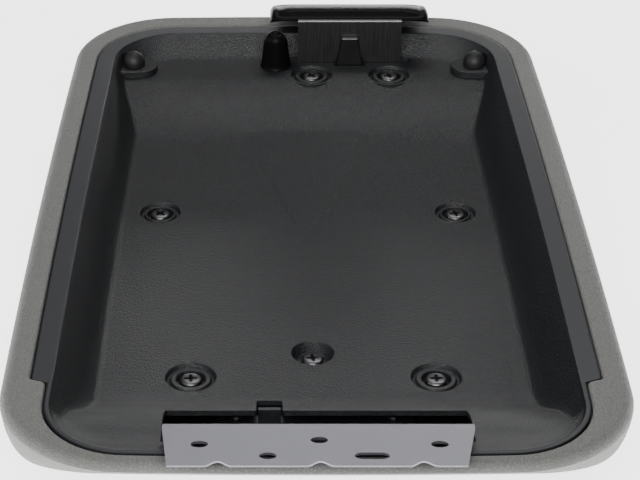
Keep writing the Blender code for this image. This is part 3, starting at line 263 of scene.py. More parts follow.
def cover_rows(rounding, insets):
    """The rim's roll, then the fall of the side down to the crown."""
    turns = [math.radians(90 * k / 8) for k in range(8)]
    roll = [(rounding * (1 - math.sin(a)), RIM - rounding * (1 - math.cos(a))) for a in turns]
    falls = (0.27, 0.47, 0.67, 0.84, 0.96, 1.0)
    fall = [(inset * MM, RIM * (1 - share)) for inset, share in zip(insets, falls)]
    return roll + smoothed([(0, RIM - rounding)] + fall)


def piece(obj, look, body="lid", sharp=35):
    """Gives an object its material and smooth shading, and sets it on its body."""
    obj.data.materials.clear()
    obj.data.materials.append(look)
    obj.data.shade_smooth()
    obj.data.set_sharp_from_angle(angle=math.radians(sharp))
    flat = obj.modifiers.new("weighted normals", "WEIGHTED_NORMAL")
    flat.keep_sharp = True
    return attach(obj, body)


side_rows = cover_rows(6 * MM, (1.2, 4.5, 12, 24, 44, 66))
near_rows = cover_rows(3.9 * MM, (15.5, 34, 54, 76, 99, 124))
far_rows = cover_rows(6 * MM, (2, 6.5, 16, 30, 53, 80))
outside = [level(PAD, *three) for three in zip(side_rows, near_rows, far_rows)]


def flange_loop(out, below):
    """A loop beyond the edge of the tray's flange by out, below the rim."""
    side, near, far = (-f * MM - out for f in FLANGE)
    return level(MOUTH, (side, RIM - below), (near, RIM - below), (far, RIM - below), near)


GAP = 0.8 * MM                                  # between the flange and the vinyl
TUCK = 3.2 * MM                                 # how deep the vinyl is tucked in beside the flange
CROWN_Y = 7 * MM                                # middle of the flat crown

tuck = [flange_loop(GAP, TUCK)]
tuck += [flange_loop(out * MM, below * MM)
         for out, below in ((0.8, 1.2), (0.95, 0.6), (1.4, 0.15), (2.1, 0))]
crown = [[(x * k, (y - CROWN_Y) * k + CROWN_Y, 0) for x, y, _ in outside[-1]] for k in (0.75, 0.5, 0.25)]
lining = [flange_loop(GAP + SKIN, TUCK), flange_loop(GAP + SKIN, SKIN + 0.6 * MM)]


def set_in(loop, below, distance):
    """The same loop moved into the pad, square to its surface."""
    count = len(loop)
    found = []
    for i, point in enumerate(loop):
        along = Vector(loop[(i + 1) % count]) - Vector(loop[i - 1])
        down = Vector(below[1][i]) - Vector(below[0][i])
        square = along.cross(down).normalized()
        found.append(tuple(Vector(point) + square * distance))
    return found


inside = []
for i, loop in enumerate(outside):
    pair = (outside[max(i - 1, 0)], outside[min(i + 1, len(outside) - 1)])
    inside.append(set_in(loop, pair, SKIN))
cover = sleeve("vinyl_cover", crown[::-1] + outside[::-1] + tuck[::-1] + lining + inside)

# Soft PVC skin, calendered with a leather grain: matt, with shallow pebbles about 1.6 mm across
# and finer creases between them, and a broad unevenness from the foam underneath.
vinyl, tree, shader, place = surface("grained grey vinyl", Roughness=0.62, IOR=1.52,
                                     Sheen_Weight=0.12)
warp = add(tree, "ShaderNodeTexNoise", Vector=place, Scale=500.0, Detail=2.0)
bent = add(tree, "ShaderNodeMix", {"data_type": "VECTOR"}, Factor=0.0012,
           A=place, B=warp.outputs["Color"])
pebble = add(tree, "ShaderNodeTexVoronoi", {"feature": "DISTANCE_TO_EDGE"},
             Vector=bent.outputs[1], Scale=620.0)
crease = add(tree, "ShaderNodeMapRange", Value=pebble.outputs["Distance"], From_Max=0.22)
fine = add(tree, "ShaderNodeTexNoise", Vector=place, Scale=900.0, Detail=4.0)
broad = add(tree, "ShaderNodeTexNoise", Vector=place, Scale=45.0, Detail=3.0)
relief = add(tree, "ShaderNodeMath", {"operation": "MULTIPLY_ADD"})
tree.links.new(fine.outputs[0], relief.inputs[0])
relief.inputs[1].default_value = 0.8
tree.links.new(crease.outputs[0], relief.inputs[2])
bump = add(tree, "ShaderNodeBump", Height=relief.outputs[0], Strength=0.55, Distance=0.0003)
soft = add(tree, "ShaderNodeBump", Height=broad.outputs[0], Strength=0.25, Distance=0.002,
           Normal=bump.outputs[0])
# painted shade: the creases between the pebbles are painted darker and the pebble tops lighter
tone = add(tree, "ShaderNodeMix", {"data_type": "RGBA"}, Factor=crease.outputs[0],
           A=linear("#494946"), B=linear("#585855"))
gloss = add(tree, "ShaderNodeMapRange", Value=fine.outputs[0], To_Min=0.55, To_Max=0.7)
feed(shader, Base_Color=tone.outputs[2], Roughness=gloss.outputs[0], Normal=soft.outputs[0])

piece(cover, vinyl)
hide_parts("cover_skin", "foam_pad")

# Moulded tray.
# One injection moulding in black plastic lines the lid. Its flange covers the edge of the vinyl,
# its floor rises in a ramp at each end, and it has recesses for seven screws, a slot for the hinge
# and an opening for the latch.

FLOOR = 30 * MM                                 # depth of the floor below the rim
FLOOR_Y = 4.5 * MM                              # middle of the floor
WALL, LET_OUT = 2.8 * MM, 1.4                   # wall thickness, and how far the underside is let out, mm
NEAR_START, NEAR_RAMP, NEAR_RISE = -129 * MM, 59 * MM, 25 * MM
FAR_START, FAR_RAMP, FAR_RISE = 132 * MM, 40 * MM, 18 * MM
LIP_START, LIP_RAMP, LIP_DROP = -158 * MM, 20 * MM, 1.5 * MM
SHALLOWEST = 0.35                               # share of FLOOR past which the side walls stay as they are

# insets from the mouth in mm, as (side, near, far): of the wall's foot, the floor and its middle
FOOT_IN, FLOOR_IN, MIDDLE_IN = (18, 23, 12), (27, 26, 45), (73, 85, 73)


def depth(y):
    """Depth of the tray below the rim along its middle."""
    near = NEAR_RISE * eased((NEAR_START - y) / NEAR_RAMP)
    return FLOOR - near - FAR_RISE * eased((y - FAR_START) / FAR_RAMP)


def lip(y):
    """How far the end of the near ramp dips below that."""
    return LIP_DROP * eased((LIP_START - y) / LIP_RAMP)


def spared(y):
    """How far the foot of a side wall moves out where the tray is shallow."""
    return FOOT_IN[0] * MM * (1 - max(depth(y) / FLOOR, SHALLOWEST))


def tray_plan(one, two, share, out=0):
    """The plan at a share of the way between two sets of insets, let out by a distance in mm."""
    side, near, far = (a + (b - a) * share for a, b in zip(one, two))
    return plan_loop(MOUTH, (side - out) * MM, (near - out / 2) * MM, (far - out) * MM)


def wall_loop(across, down, lowered=0, out=0):
    """A loop on the tray's wall, from its mouth (0, 0) to its foot (1, 1)."""
    return [(x + math.copysign(spared(y) * across * s, x), y,
             RIM - down * depth(y) - lip(y) * min(down * 8, 1) - lowered)
            for x, y, s, _ in tray_plan((0, 0, 0), FOOT_IN, across, out)]


def foot_loop(share, lowered=0, out=0):
    """A loop between the foot of the wall (0) and the floor's first loop (1)."""
    return [(x + math.copysign(spared(y) * (1 - share) * s, x), y, RIM - depth(y) - lip(y) - lowered)
            for x, y, s, _ in tray_plan(FOOT_IN, FLOOR_IN, share, out)]


def floor_loop(share, lowered=0):
    """A loop on the floor, from its edge (0) to round its middle (1)."""
    return [(x, y, RIM - depth(y) - lip(y) - lowered)
            for x, y, _, _ in tray_plan(FLOOR_IN, MIDDLE_IN, share)]


def middle_loops(loop):
    """Two smaller loops that close the middle of the floor."""
    return [[(x * k, (y - FLOOR_Y) * k + FLOOR_Y, z) for x, y, z in loop] for k in (0.7, 0.35)]


# a rounded outer edge, a softly rounded mouth, the wall with its foot fillet, and the floor
upper = [flange_loop(-inward * MM, below * MM)
         for inward, below in ((0, 3), (0, 0.55), (0.12, 0.2), (0.5, 0), (0.9, 0))]
wall_line = smoothed([(0, 0), (0.03, 0.015), (0.09, 0.08), (0.36, 0.42), (0.61, 0.76), (0.8, 0.94),
                      (0.92, 0.99), (1, 1)], 4)
upper.append(wall_loop(-0.03, 0))
upper += [wall_loop(a, d) for a, d in wall_line[1:]]
upper += [foot_loop(k / 12) for k in range(1, 12)]
upper += [floor_loop(k / 22) for k in range(23)]
under = [wall_loop(0, 0, 3 * MM, 1)]
under += [wall_loop(a, d, WALL, LET_OUT) for a, d in ((0.36, 0.42), (0.61, 0.76), (0.8, 0.94), (1, 1))]
under += [foot_loop(k / 6, WALL, LET_OUT * (1 - k / 6)) for k in range(1, 6)]
under += [floor_loop(k / 8, WALL) for k in range(9)]
upper += middle_loops(upper[-1])
under += middle_loops(under[-1])
tray = sleeve("moulded_tray", upper[::-1] + under)


def spun(name, profile, spot=(0, 0, 0), facets=64, axis="Z"):
    """A closed solid of turning; the profile is (radius, height) from end to end of the axis."""
    edit = bmesh.new()
    rows = []
    for radius, height in profile:
        if radius == 0:
            rows.append([edit.verts.new((0, 0, height))] * facets)
        else:
            turns = [2 * math.pi * (i + 0.5) / facets for i in range(facets)]
            rows.append([edit.verts.new((radius * math.cos(a), radius * math.sin(a), height))
                         for a in turns])
    pairs = list(zip(rows, rows[1:]))
    if profile[0][0] > 0:
        pairs.append((rows[-1], rows[0]))
    for one, two in pairs:
        for i in range(facets):
            j = (i + 1) % facets
            edit.faces.new(list(dict.fromkeys((one[i], one[j], two[j], two[i]))))
    if axis == "X":
        bmesh.ops.rotate(edit, verts=edit.verts, matrix=Matrix.Rotation(math.pi / 2, 3, "Y"))
    bmesh.ops.translate(edit, verts=edit.verts, vec=spot)
    bmesh.ops.recalc_face_normals(edit, faces=edit.faces)
    return as_object(name, edit)


def pushed(name, points, low, high, axis="Z"):
    """A closed solid: an outline of (x, y) pushed along Z, or of (y, z) pushed along X."""
    edit = bmesh.new()
    rows = [[edit.verts.new((*p, t) if axis == "Z" else (t, *p)) for p in points] for t in (low, high)]
    for row in rows:
        edit.faces.new(row)
    for i in range(len(points)):
        j = (i + 1) % len(points)
        edit.faces.new((rows[0][i], rows[0][j], rows[1][j], rows[1][i]))
    bmesh.ops.recalc_face_normals(edit, faces=edit.faces)
    return as_object(name, edit)


def in_mm(points):
    """Points that are written in millimetres."""
    return [tuple(value * MM for value in point) for point in points]


def rounded(points, radii):
    """An outline with its corners rounded, by one radius or by a list of them."""
    steps = 5
    found = []
    for i, here in enumerate(points):
        radius = radii[i] if isinstance(radii, (list, tuple)) else radii
        if radius == 0:
            found.append(tuple(here))
            continue
        here, before, after = Vector(here), Vector(points[i - 1]), Vector(points[(i + 1) % len(points)])
        reach = min(radius, (before - here).length / 2.1, (after - here).length / 2.1)
        one = here + (before - here).normalized() * reach
        two = here + (after - here).normalized() * reach
        for k in range(steps + 1):
            t = k / steps
            found.append(tuple(one * (1 - t) ** 2 + here * 2 * t * (1 - t) + two * t * t))
    return found


def settled(obj):
    """Keeps the result of an object's modifiers as a plain mesh."""
    bpy.context.view_layer.update()
    mesh = bpy.data.meshes.new_from_object(obj.evaluated_get(bpy.context.evaluated_depsgraph_get()))
    obj.modifiers.clear()
    obj.data = mesh
    return obj


def softened(obj, width, segments=3):
    """Rounds the edges of a solid."""
    step = obj.modifiers.new("rounded edges", "BEVEL")
    step.width, step.segments = width, segments
    step.limit_method, step.angle_limit = "ANGLE", math.radians(40)
    return settled(obj)


def joined(parts):
    """Several solids as one object, for a single cut."""
    edit = bmesh.new()
    for part in parts:
        edit.from_mesh(part.data)
        bpy.data.objects.remove(part)
    return as_object("tools", edit)


def combined(obj, tool, operation):
    """Joins a solid to another, or cuts it, and merges what then coincides."""
    step = obj.modifiers.new("cut", "BOOLEAN")
    step.operation, step.solver, step.object = operation, "EXACT", tool
    settled(obj)
    bpy.data.objects.remove(tool)
    edit = bmesh.new()
    edit.from_mesh(obj.data)
    bmesh.ops.remove_doubles(edit, verts=edit.verts, dist=0.002 * MM)
    edit.to_mesh(obj.data)
    edit.free()
    return obj


# x, y, depth of the seat, radius of the recess, all in mm
SCREW_SEATS = [(-57.7, -113, 4.2, 11.8), (57.7, -113, 4.2, 11.8), (0, -92, 6.5, 10), (-79, 45, 4.2, 10.6),
               (79, 45, 4.2, 10.6), (4.3, 178, 4.2, 11.8), (49.7, 178, 4.2, 11.8)]
DEEP_SEAT = 5                                   # a recess deeper than this is a plain cup, mm
BOSS_WALL, BOSS_FLOOR = 1.6, 2.4                # walls of the boss behind a recess, mm
CUT_FROM = RIM - 45 * MM                        # the slot and the opening are cut from below the tray
PAD_X, PAD_RADIUS = 96, 9.8                     # the round end of the raised pad under a bumper, mm
DOME_X, DOME_Y, DOME_DROP = 100, 183, 8         # middle of a bumper, and its seat below the rim, mm


def tray_top(y):
    """Height of the tray at a distance along it, in mm."""
    return RIM - depth(y * MM)


def recess_section(r, seat):
    """A screw's recess as (radius, height) from the middle out, with its pilot hole, in mm."""
    if seat > DEEP_SEAT:
        return [(0, 6), (r + 0.9, 6), (r + 0.9, 0.02), (r + 0.35, -0.12), (r, -0.5),
                (r - 1.4, -seat + 0.8), (r - 2.2, -seat), (2.4, -seat), (2.4, -seat - 4), (0, -seat - 4)]
    return [(0, 6), (r + 0.8, 6), (r + 0.8, 0.02), (r + 0.3, -0.12), (r, -0.5), (r - 0.5, -2.1),
            (r - 0.9, -2.4), (r - 1.7, -2.4), (r - 2.1, -2.1), (r - 2.4, -1.1), (r - 2.7, -0.8),
            (7.3, -0.8), (7.0, -1.05), (6.75, -seat + 0.5), (6.2, -seat), (2.4, -seat),
            (2.4, -seat - 4), (0, -seat - 4)]


backs, recesses = [], []
for x, y, seat, r in SCREW_SEATS:
    spot = (x * MM, y * MM, tray_top(y))
    boss, bottom = (r + BOSS_WALL) * MM, -seat * MM - BOSS_FLOOR * MM
    backs.append(spun("back", [(0, bottom), (boss, bottom), (boss, -0.4 * MM), (0, -0.4 * MM)], spot))
    recesses.append(spun("recess", in_mm(recess_section(r, seat)), spot))
for sign in (-1, 1):
    turns = [math.radians(90 + 10 * i) for i in range(19)]
    pad = [(sign * (PAD_X + PAD_RADIUS * math.cos(a)), DOME_Y + PAD_RADIUS * math.sin(a)) for a in turns]
    pad += [(sign * x, DOME_Y + y) for x, y in ((109, -PAD_RADIUS), (109, -2), (103.5, PAD_RADIUS))]
    top = RIM - DOME_DROP * MM
    backs.append(softened(pushed("pad", in_mm(pad), RIM - 13 * MM, top), 0.7 * MM))
    recesses.append(spun("room", in_mm([(0, 0), (7.4, 0), (7.4, 12), (0, 12)]),
                         (sign * DOME_X * MM, DOME_Y * MM, top)))
slot = [(-67.5, -200), (67.5, -200), (67.5, -157), (-14.7, -157), (-14.7, -133), (-26.7, -133),
        (-26.7, -157), (-67.5, -157)]
recesses.append(pushed("slot", in_mm(rounded(slot, 1.6)), CUT_FROM, RIM + 1 * MM))
opening = [(-8.5, 193.9), (17.8, 193.9), (17.8, 189.7), (36.2, 189.7), (36.2, 193.9), (62.5, 193.9),
           (62.5, 199.5), (-8.5, 199.5)]
recesses.append(pushed("opening", in_mm(rounded(opening, 0.8)), CUT_FROM, RIM - 6 * MM))
combined(tray, joined(backs), "UNION")
combined(tray, joined(recesses), "DIFFERENCE")

# ABS from a spark-eroded mould: near black, with a fine sandy grain of about 0.4 mm that breaks
# the lamps' reflections into a soft grey sheen; the grain's peaks are also painted lighter grey, a
# painted sheen. The grain is drawn at 0.8 mm so that it shows.
# The flange is grained more finely, so it reads smoother and a little bluer.
tray_plastic, tree, shader, place = surface("spark-grained black ABS", IOR=1.45, Roughness=0.45)
grain = add(tree, "ShaderNodeTexNoise", Vector=place, Scale=1250.0, Detail=2.0)
cells = add(tree, "ShaderNodeTexVoronoi", Vector=place, Scale=1500.0)
height = add(tree, "ShaderNodeMath", {"operation": "ADD"})
tree.links.new(grain.outputs[0], height.inputs[0])
tree.links.new(cells.outputs["Distance"], height.inputs[1])
bump = add(tree, "ShaderNodeBump", Height=height.outputs[0], Strength=1.0, Distance=0.00026)
handled = add(tree, "ShaderNodeTexNoise", Vector=place, Scale=28.0, Detail=3.0)
gloss = add(tree, "ShaderNodeMapRange", Value=handled.outputs[0], To_Min=0.38, To_Max=0.46)
# painted sheen: the higher the grain, the lighter its colour
peaks = add(tree, "ShaderNodeMapRange", Value=grain.outputs[0], From_Min=0.35, From_Max=0.65)
peak_sheen = add(tree, "ShaderNodeMix", {"data_type": "RGBA"}, Factor=peaks.outputs[0],
            A=linear("#08090a"), B=linear("#222325"))
feed(shader, Base_Color=peak_sheen.outputs[2], Roughness=gloss.outputs[0], Normal=bump.outputs[0])

# the same ABS on the flange, from a smoother face of the mould
flange_plastic, tree, shader, place = surface("finely grained black ABS", IOR=1.45, Roughness=0.4)
fine = add(tree, "ShaderNodeTexNoise", Vector=place, Scale=2200.0, Detail=2.0)
bump = add(tree, "ShaderNodeBump", Height=fine.outputs[0], Strength=0.15, Distance=0.0001)
tone = add(tree, "ShaderNodeMix", {"data_type": "RGBA"}, Factor=fine.outputs[0],
           A=linear("#0e0f12"), B=linear("#1a1b1f"))
gloss = add(tree, "ShaderNodeMapRange", Value=fine.outputs[0], To_Min=0.36, To_Max=0.46)
feed(shader, Base_Color=tone.outputs[2], Roughness=gloss.outputs[0], Normal=bump.outputs[0])

piece(tray, tray_plastic, sharp=28)
tray.data.materials.append(flange_plastic)
for face in tray.data.polygons:
    if face.center.z > RIM - 0.7 * MM and face.normal.z > 0.3:
        face.material_index = 1
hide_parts("inner_liner")

# Tray screws.
# Seven pan-head tapping screws in zinc-plated steel, with a cross recess, hold the tray.
# One head is modelled and set in each seat, and each stopped at its own turn.

HEAD_RADIUS, HEAD_TOP, HEAD_GAP = 5.2, 3.7, 0.35    # in mm; the gap is between head and seat
ARM_FLOOR = 1.6                                 # the cross is cut down to this height, mm
head = spun("pan_head", in_mm([
    (0, -5), (2, -4), (2, HEAD_GAP), (5.1, HEAD_GAP), (HEAD_RADIUS, 0.5), (HEAD_RADIUS, 2.3), (5.12, 2.7),
    (4.85, 3.1), (4.35, 3.4), (3.6, 3.58), (2.4, 3.68), (0, HEAD_TOP)]))
arm = [(-3.1, -0.62), (-1.0, -0.9), (1.0, -0.9), (3.1, -0.62), (3.1, 0.62), (1.0, 0.9), (-1.0, 0.9),
       (-3.1, 0.62)]
for turn in (0, 90):
    a = math.radians(turn)
    turned_arm = [(x * math.cos(a) - y * math.sin(a), x * math.sin(a) + y * math.cos(a)) for x, y in arm]
    combined(head, pushed("arm", in_mm(turned_arm), ARM_FLOOR * MM, 5 * MM), "DIFFERENCE")

edit = bmesh.new()
for x, y, seat, _ in SCREW_SEATS:
    edit.verts.new((x * MM, y * MM, tray_top(y) - seat * MM))
screws = as_object("tray_screws", edit)

setting = bpy.data.node_groups.new("screws in their seats", "GeometryNodeTree")
setting.interface.new_socket("Geometry", in_out="INPUT", socket_type="NodeSocketGeometry")
setting.interface.new_socket("Head", in_out="INPUT", socket_type="NodeSocketObject")
setting.interface.new_socket("Seed", in_out="INPUT", socket_type="NodeSocketInt")
setting.interface.new_socket("Finish", in_out="INPUT", socket_type="NodeSocketMaterial")
setting.interface.new_socket("Geometry", in_out="OUTPUT", socket_type="NodeSocketGeometry")
seats = add(setting, "NodeGroupInput")
one_head = add(setting, "GeometryNodeObjectInfo", Object=seats.outputs["Head"])
stop = add(setting, "FunctionNodeRandomValue", {"data_type": "FLOAT"}, Seed=seats.outputs["Seed"])
stop.inputs[3].default_value = math.pi
turn = add(setting, "ShaderNodeCombineXYZ", Z=stop.outputs[1])
put = add(setting, "GeometryNodeInstanceOnPoints", Points=seats.outputs["Geometry"],
          Instance=one_head.outputs["Geometry"], Rotation=turn.outputs[0])
real = add(setting, "GeometryNodeRealizeInstances", Geometry=put.outputs[0])
finish = add(setting, "GeometryNodeSetMaterial", Geometry=real.outputs[0],
             Material=seats.outputs["Finish"])
add(setting, "NodeGroupOutput", Geometry=finish.outputs[0])

# Zinc plate over cold-headed steel: smooth and a little dull, with faint marks from the tool.
screw_steel, tree, shader, place = surface("zinc-plated screw steel", Metallic=1.0, Roughness=0.34)
marks = add(tree, "ShaderNodeTexNoise", Vector=place, Scale=1500.0, Detail=3.0)
tint = add(tree, "ShaderNodeMix", {"data_type": "RGBA"}, Factor=marks.outputs[0],
           A=linear("#454549"), B=linear("#6f6e6f"))
gloss = add(tree, "ShaderNodeMapRange", Value=marks.outputs[0], To_Min=0.26, To_Max=0.42)
feed(shader, Base_Color=tint.outputs[2], Roughness=gloss.outputs[0])


def grown(obj, group, values):
    """Runs a Geometry Nodes tree on an object."""
    step = obj.modifiers.new(group.name, "NODES")
    step.node_group = group
    for item in group.interface.items_tree:
        if item.item_type == "SOCKET" and item.in_out == "INPUT" and item.name in values:
            step[item.identifier] = values[item.name]
    return settled(obj)


grown(screws, setting, {"Head": head, "Seed": 5, "Finish": screw_steel})
bpy.data.objects.remove(head)
piece(screws, screw_steel)

# the cross recesses are painted dark inside: painted shade in the recesses
painted_recess_shade, tree, shader, place = surface("steel recess with painted shade", Metallic=0.4, Roughness=0.5)
recess_shade_noise = add(tree, "ShaderNodeTexNoise", Vector=place, Scale=2000.0, Detail=2.0)
tint = add(tree, "ShaderNodeMix", {"data_type": "RGBA"}, Factor=recess_shade_noise.outputs[0],
           A=linear("#0c0c0d"), B=linear("#232324"))
feed(shader, Base_Color=tint.outputs[2])
CROSS_REACH = 3.3                               # just past the ends of the cross, mm
screws.data.materials.append(painted_recess_shade)
# the faces inside each cross get the painted shade
for face in screws.data.polygons:
    middle = face.center / MM
    for x, y, seat, _ in SCREW_SEATS:
        over = middle.z - tray_top(y) / MM + seat
        if (middle.x - x) ** 2 + (middle.y - y) ** 2 < CROSS_REACH ** 2 and ARM_FLOOR - 0.4 < over < 3.4:
            face.material_index = 1
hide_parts("screw_near_left", "screw_near_right", "screw_centre", "screw_mid_left",
            "screw_mid_right", "screw_far_left", "screw_far_right")

# Hinge.
# A pressed leaf of zinc-plated sheet turns on a pin with its mate, a black leaf screwed inside the
# lid. Two torsion springs on the pin throw it open.


def finer(node, name, bevel):
    """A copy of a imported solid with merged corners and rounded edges."""
    edit = bmesh.new()
    edit.from_mesh(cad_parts[node].data)
    bmesh.ops.remove_doubles(edit, verts=edit.verts, dist=0.001 * MM)
    bmesh.ops.dissolve_limit(edit, angle_limit=math.radians(1), verts=edit.verts, edges=edit.edges)
    return softened(as_object(name, edit), bevel)


# Electro-zinc on rolled sheet: a soft lilac grey, nearly uniform, with a very faint rolling grain
# along X and a faint clouding.
zinc, tree, shader, place = surface("zinc-plated sheet steel", Metallic=0.85, Roughness=0.42)
rolled = add(tree, "ShaderNodeMapping", Vector=place, Scale=(60.0, 1400.0, 1400.0))
streak = add(tree, "ShaderNodeTexNoise", Vector=rolled.outputs[0], Scale=1.0, Detail=3.0)
cloud = add(tree, "ShaderNodeTexNoise", Vector=place, Scale=70.0, Detail=4.0)
mixed = add(tree, "ShaderNodeMath", {"operation": "MULTIPLY_ADD"})
tree.links.new(streak.outputs[0], mixed.inputs[0])
mixed.inputs[1].default_value = 0.35
tree.links.new(cloud.outputs[0], mixed.inputs[2])
tint = add(tree, "ShaderNodeMix", {"data_type": "RGBA"}, Factor=mixed.outputs[0],
           A=linear("#717177"), B=linear("#88878e"))
gloss = add(tree, "ShaderNodeMapRange", Value=mixed.outputs[0], To_Min=0.36, To_Max=0.5)
bump = add(tree, "ShaderNodeBump", Height=mixed.outputs[0], Strength=0.1, Distance=0.0002)
feed(shader, Base_Color=tint.outputs[2], Roughness=gloss.outputs[0], Normal=bump.outputs[0])

LEAF_Y, BEND_Z = -197.95 * MM, RIM + 3 * MM     # outside of the bend
PIN_Y, PIN_Z = -193 * MM, RIM - 9 * MM
TILT = math.radians(14)
LEAF_REACH = 45.9                               # from the bend to the near edge, mm
LEG = 2.1 * MM                                  # thickness of the leg
HALF_SHEET = 68 * MM


def on_leaf(away, over):
    """A place (y, z) on the leaf, by its distance from the bend and its height over the face."""
    return (LEAF_Y - away * MM * math.cos(TILT) + over * MM * math.sin(TILT),
            BEND_Z + away * MM * math.sin(TILT) + over * MM * math.cos(TILT))


# the sheet tapers from 1.5 mm at the bend to 0.8 mm at its near edge
section = [(LEAF_Y, PIN_Z), (LEAF_Y, BEND_Z - 1.5 * MM / math.cos(TILT)), on_leaf(LEAF_REACH, -0.8),
           on_leaf(LEAF_REACH, 0), (LEAF_Y + LEG, BEND_Z - LEG * math.tan(TILT)), (LEAF_Y + LEG, PIN_Z)]
leaf = pushed("hinge_console_leaf", rounded(section, [0, 0.8 * MM, 0.2 * MM, 0.2 * MM, 2.4 * MM, 0]),
              -HALF_SHEET, HALF_SHEET, "X")

# plan of the sheet, with a chamfer beside the bend and three bell-shaped notches in the near edge
edge = on_leaf(LEAF_REACH, 0)[0] / MM
back = LEAF_Y / MM
NOTCHES, NOTCH_HALF, NOTCH_DEPTH = (-42, 0, 42), 6.5, 5.2
sheet = [(66.5, back - 4), (66.5, back + 0.2), (64.8, back + 2.3), (64.8, back + 12), (-64.8, back + 12),
         (-64.8, back + 2.3), (-66.5, back + 0.2), (-66.5, back - 4), (-62.4, edge - 2)]
for middle in NOTCHES:
    sheet.append((middle - NOTCH_HALF - 0.1, edge - 2))
    for i in range(-12, 13):
        rise = (0.5 + 0.5 * math.cos(math.pi * i / 12)) ** 1.2
        sheet.append((middle + NOTCH_HALF * i / 12, edge - 0.4 + NOTCH_DEPTH * rise))
    sheet.append((middle + NOTCH_HALF + 0.1, edge - 2))
sheet.append((59.3, edge - 2))
combined(leaf, pushed("sheet", in_mm(sheet), 40 * MM, 90 * MM), "INTERSECT")

# the leg is cut away between the knuckles, which are rolled round the pin
KNUCKLES, GAPS = ((-61, -46), (-10, 10), (46, 61)), ((-69, -61), (-46, -10), (10, 46), (61, 69))
BORE, KNUCKLE_RADIUS = 2.85, 4.95               # of the knuckles, mm
LEG_TOP = 56.95 * MM
leg = [(LEAF_Y - 1 * MM, 50 * MM), (LEAF_Y + LEG + 1 * MM, 50 * MM), (LEAF_Y + LEG + 1 * MM, LEG_TOP),
       (LEAF_Y - 1 * MM, LEG_TOP)]
combined(leaf, joined([pushed("gap", leg, a * MM, b * MM, "X") for a, b in GAPS]), "DIFFERENCE")
for low, high in KNUCKLES:
    tube = in_mm([(BORE, low), (KNUCKLE_RADIUS, low), (KNUCKLE_RADIUS, high), (BORE, high)])
    combined(leaf, spun("knuckle", tube, (0, PIN_Y, PIN_Z), 48, "X"), "UNION")

# bolt holes, by x and the distance from the bend in mm
HOLES, HOLE_RADIUS = [(-50, 22.7), (50, 22.7), (0, 18), (-21.5, 35.5)], 3.6
LONG_HOLE, LONG_HALF = (21.3, 35.5), 3.6        # its middle, and from there to the middle of each end
PUNCH = 6                                       # the punches reach this far each side of the face, mm
punches = []
for x, away in HOLES:
    line = [(0, -PUNCH), (HOLE_RADIUS, -PUNCH), (HOLE_RADIUS, PUNCH), (0, PUNCH)]
    punches.append(spun("hole", in_mm(line), (x * MM, -away * MM, 0), 48))
turns = [math.radians(90 + 7.5 * i) for i in range(25)]
ends = [(LONG_HOLE[0] + sign * (HOLE_RADIUS * math.cos(a) - LONG_HALF),
         sign * HOLE_RADIUS * math.sin(a) - LONG_HOLE[1]) for sign in (1, -1) for a in turns]
punches.append(pushed("long_hole", in_mm(ends), -PUNCH * MM, PUNCH * MM))
punch = joined(punches)
punch.data.transform(Matrix.Translation((0, LEAF_Y, BEND_Z)) @ Matrix.Rotation(-TILT, 4, "X"))
combined(leaf, punch, "DIFFERENCE")
softened(leaf, 0.12 * MM, 2)
piece(leaf, zinc, "hinge_leaf", sharp=14)

# the walls of the punched holes are bare, oxidised steel
bare_steel, tree, shader, place = surface("oxidised sheared steel", Metallic=0.7, Roughness=0.6)
tears = add(tree, "ShaderNodeTexNoise", Vector=place, Scale=1800.0, Detail=3.0)
tint = add(tree, "ShaderNodeMix", {"data_type": "RGBA"}, Factor=tears.outputs[0],
           A=linear("#161618"), B=linear("#303034"))
feed(shader, Base_Color=tint.outputs[2])
leaf.data.materials.append(bare_steel)
square = Vector((0, math.sin(TILT), math.cos(TILT)))
along = Vector((0, -math.cos(TILT), math.sin(TILT)))
NEAR_HOLE = HOLE_RADIUS + 0.15                  # how far from a hole's middle its wall can lie, mm
for face in leaf.data.polygons:
    away = ((face.center - Vector((0, LEAF_Y, BEND_Z))) @ along) / MM
    x = face.center.x / MM
    in_hole = any((x - a) ** 2 + (away - b) ** 2 < NEAR_HOLE ** 2 for a, b in HOLES)
    in_slot = abs(x - LONG_HOLE[0]) < NEAR_HOLE + LONG_HALF and abs(away - LONG_HOLE[1]) < NEAR_HOLE
    if (in_hole or in_slot) and abs(face.normal @ square) < 0.6:
        face.material_index = 1
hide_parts("hinge_plate")

# Black electrocoat over pressed steel: satin, with a fine orange peel.
black_coat, tree, shader, place = surface("black electrocoated steel", Roughness=0.38, IOR=1.5)
peel = add(tree, "ShaderNodeTexNoise", Vector=place, Scale=420.0, Detail=2.0)
bump = add(tree, "ShaderNodeBump", Height=peel.outputs[0], Strength=0.15, Distance=0.0002)
tint = add(tree, "ShaderNodeMix", {"data_type": "RGBA"}, Factor=peel.outputs[0],
           A=linear("#141518"), B=linear("#1f2024"))
feed(shader, Base_Color=tint.outputs[2], Normal=bump.outputs[0])

lid_leaf = piece(finer("hinge_lid_leaf", "hinge_inner_leaf", 0.25 * MM), black_coat, sharp=14)
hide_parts("hinge_lid_leaf")

for name in ("hinge_pin", "hinge_spring_left", "hinge_spring_right", "hinge_screw_left",
             "hinge_screw_right", "latch_pivot_pin", "latch_return_spring"):
    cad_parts[name].data.materials.clear()
    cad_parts[name].data.materials.append(screw_steel)

# Carrier.
# The rigid shell under the foam and the latch's bracket are plain moulded plastic.

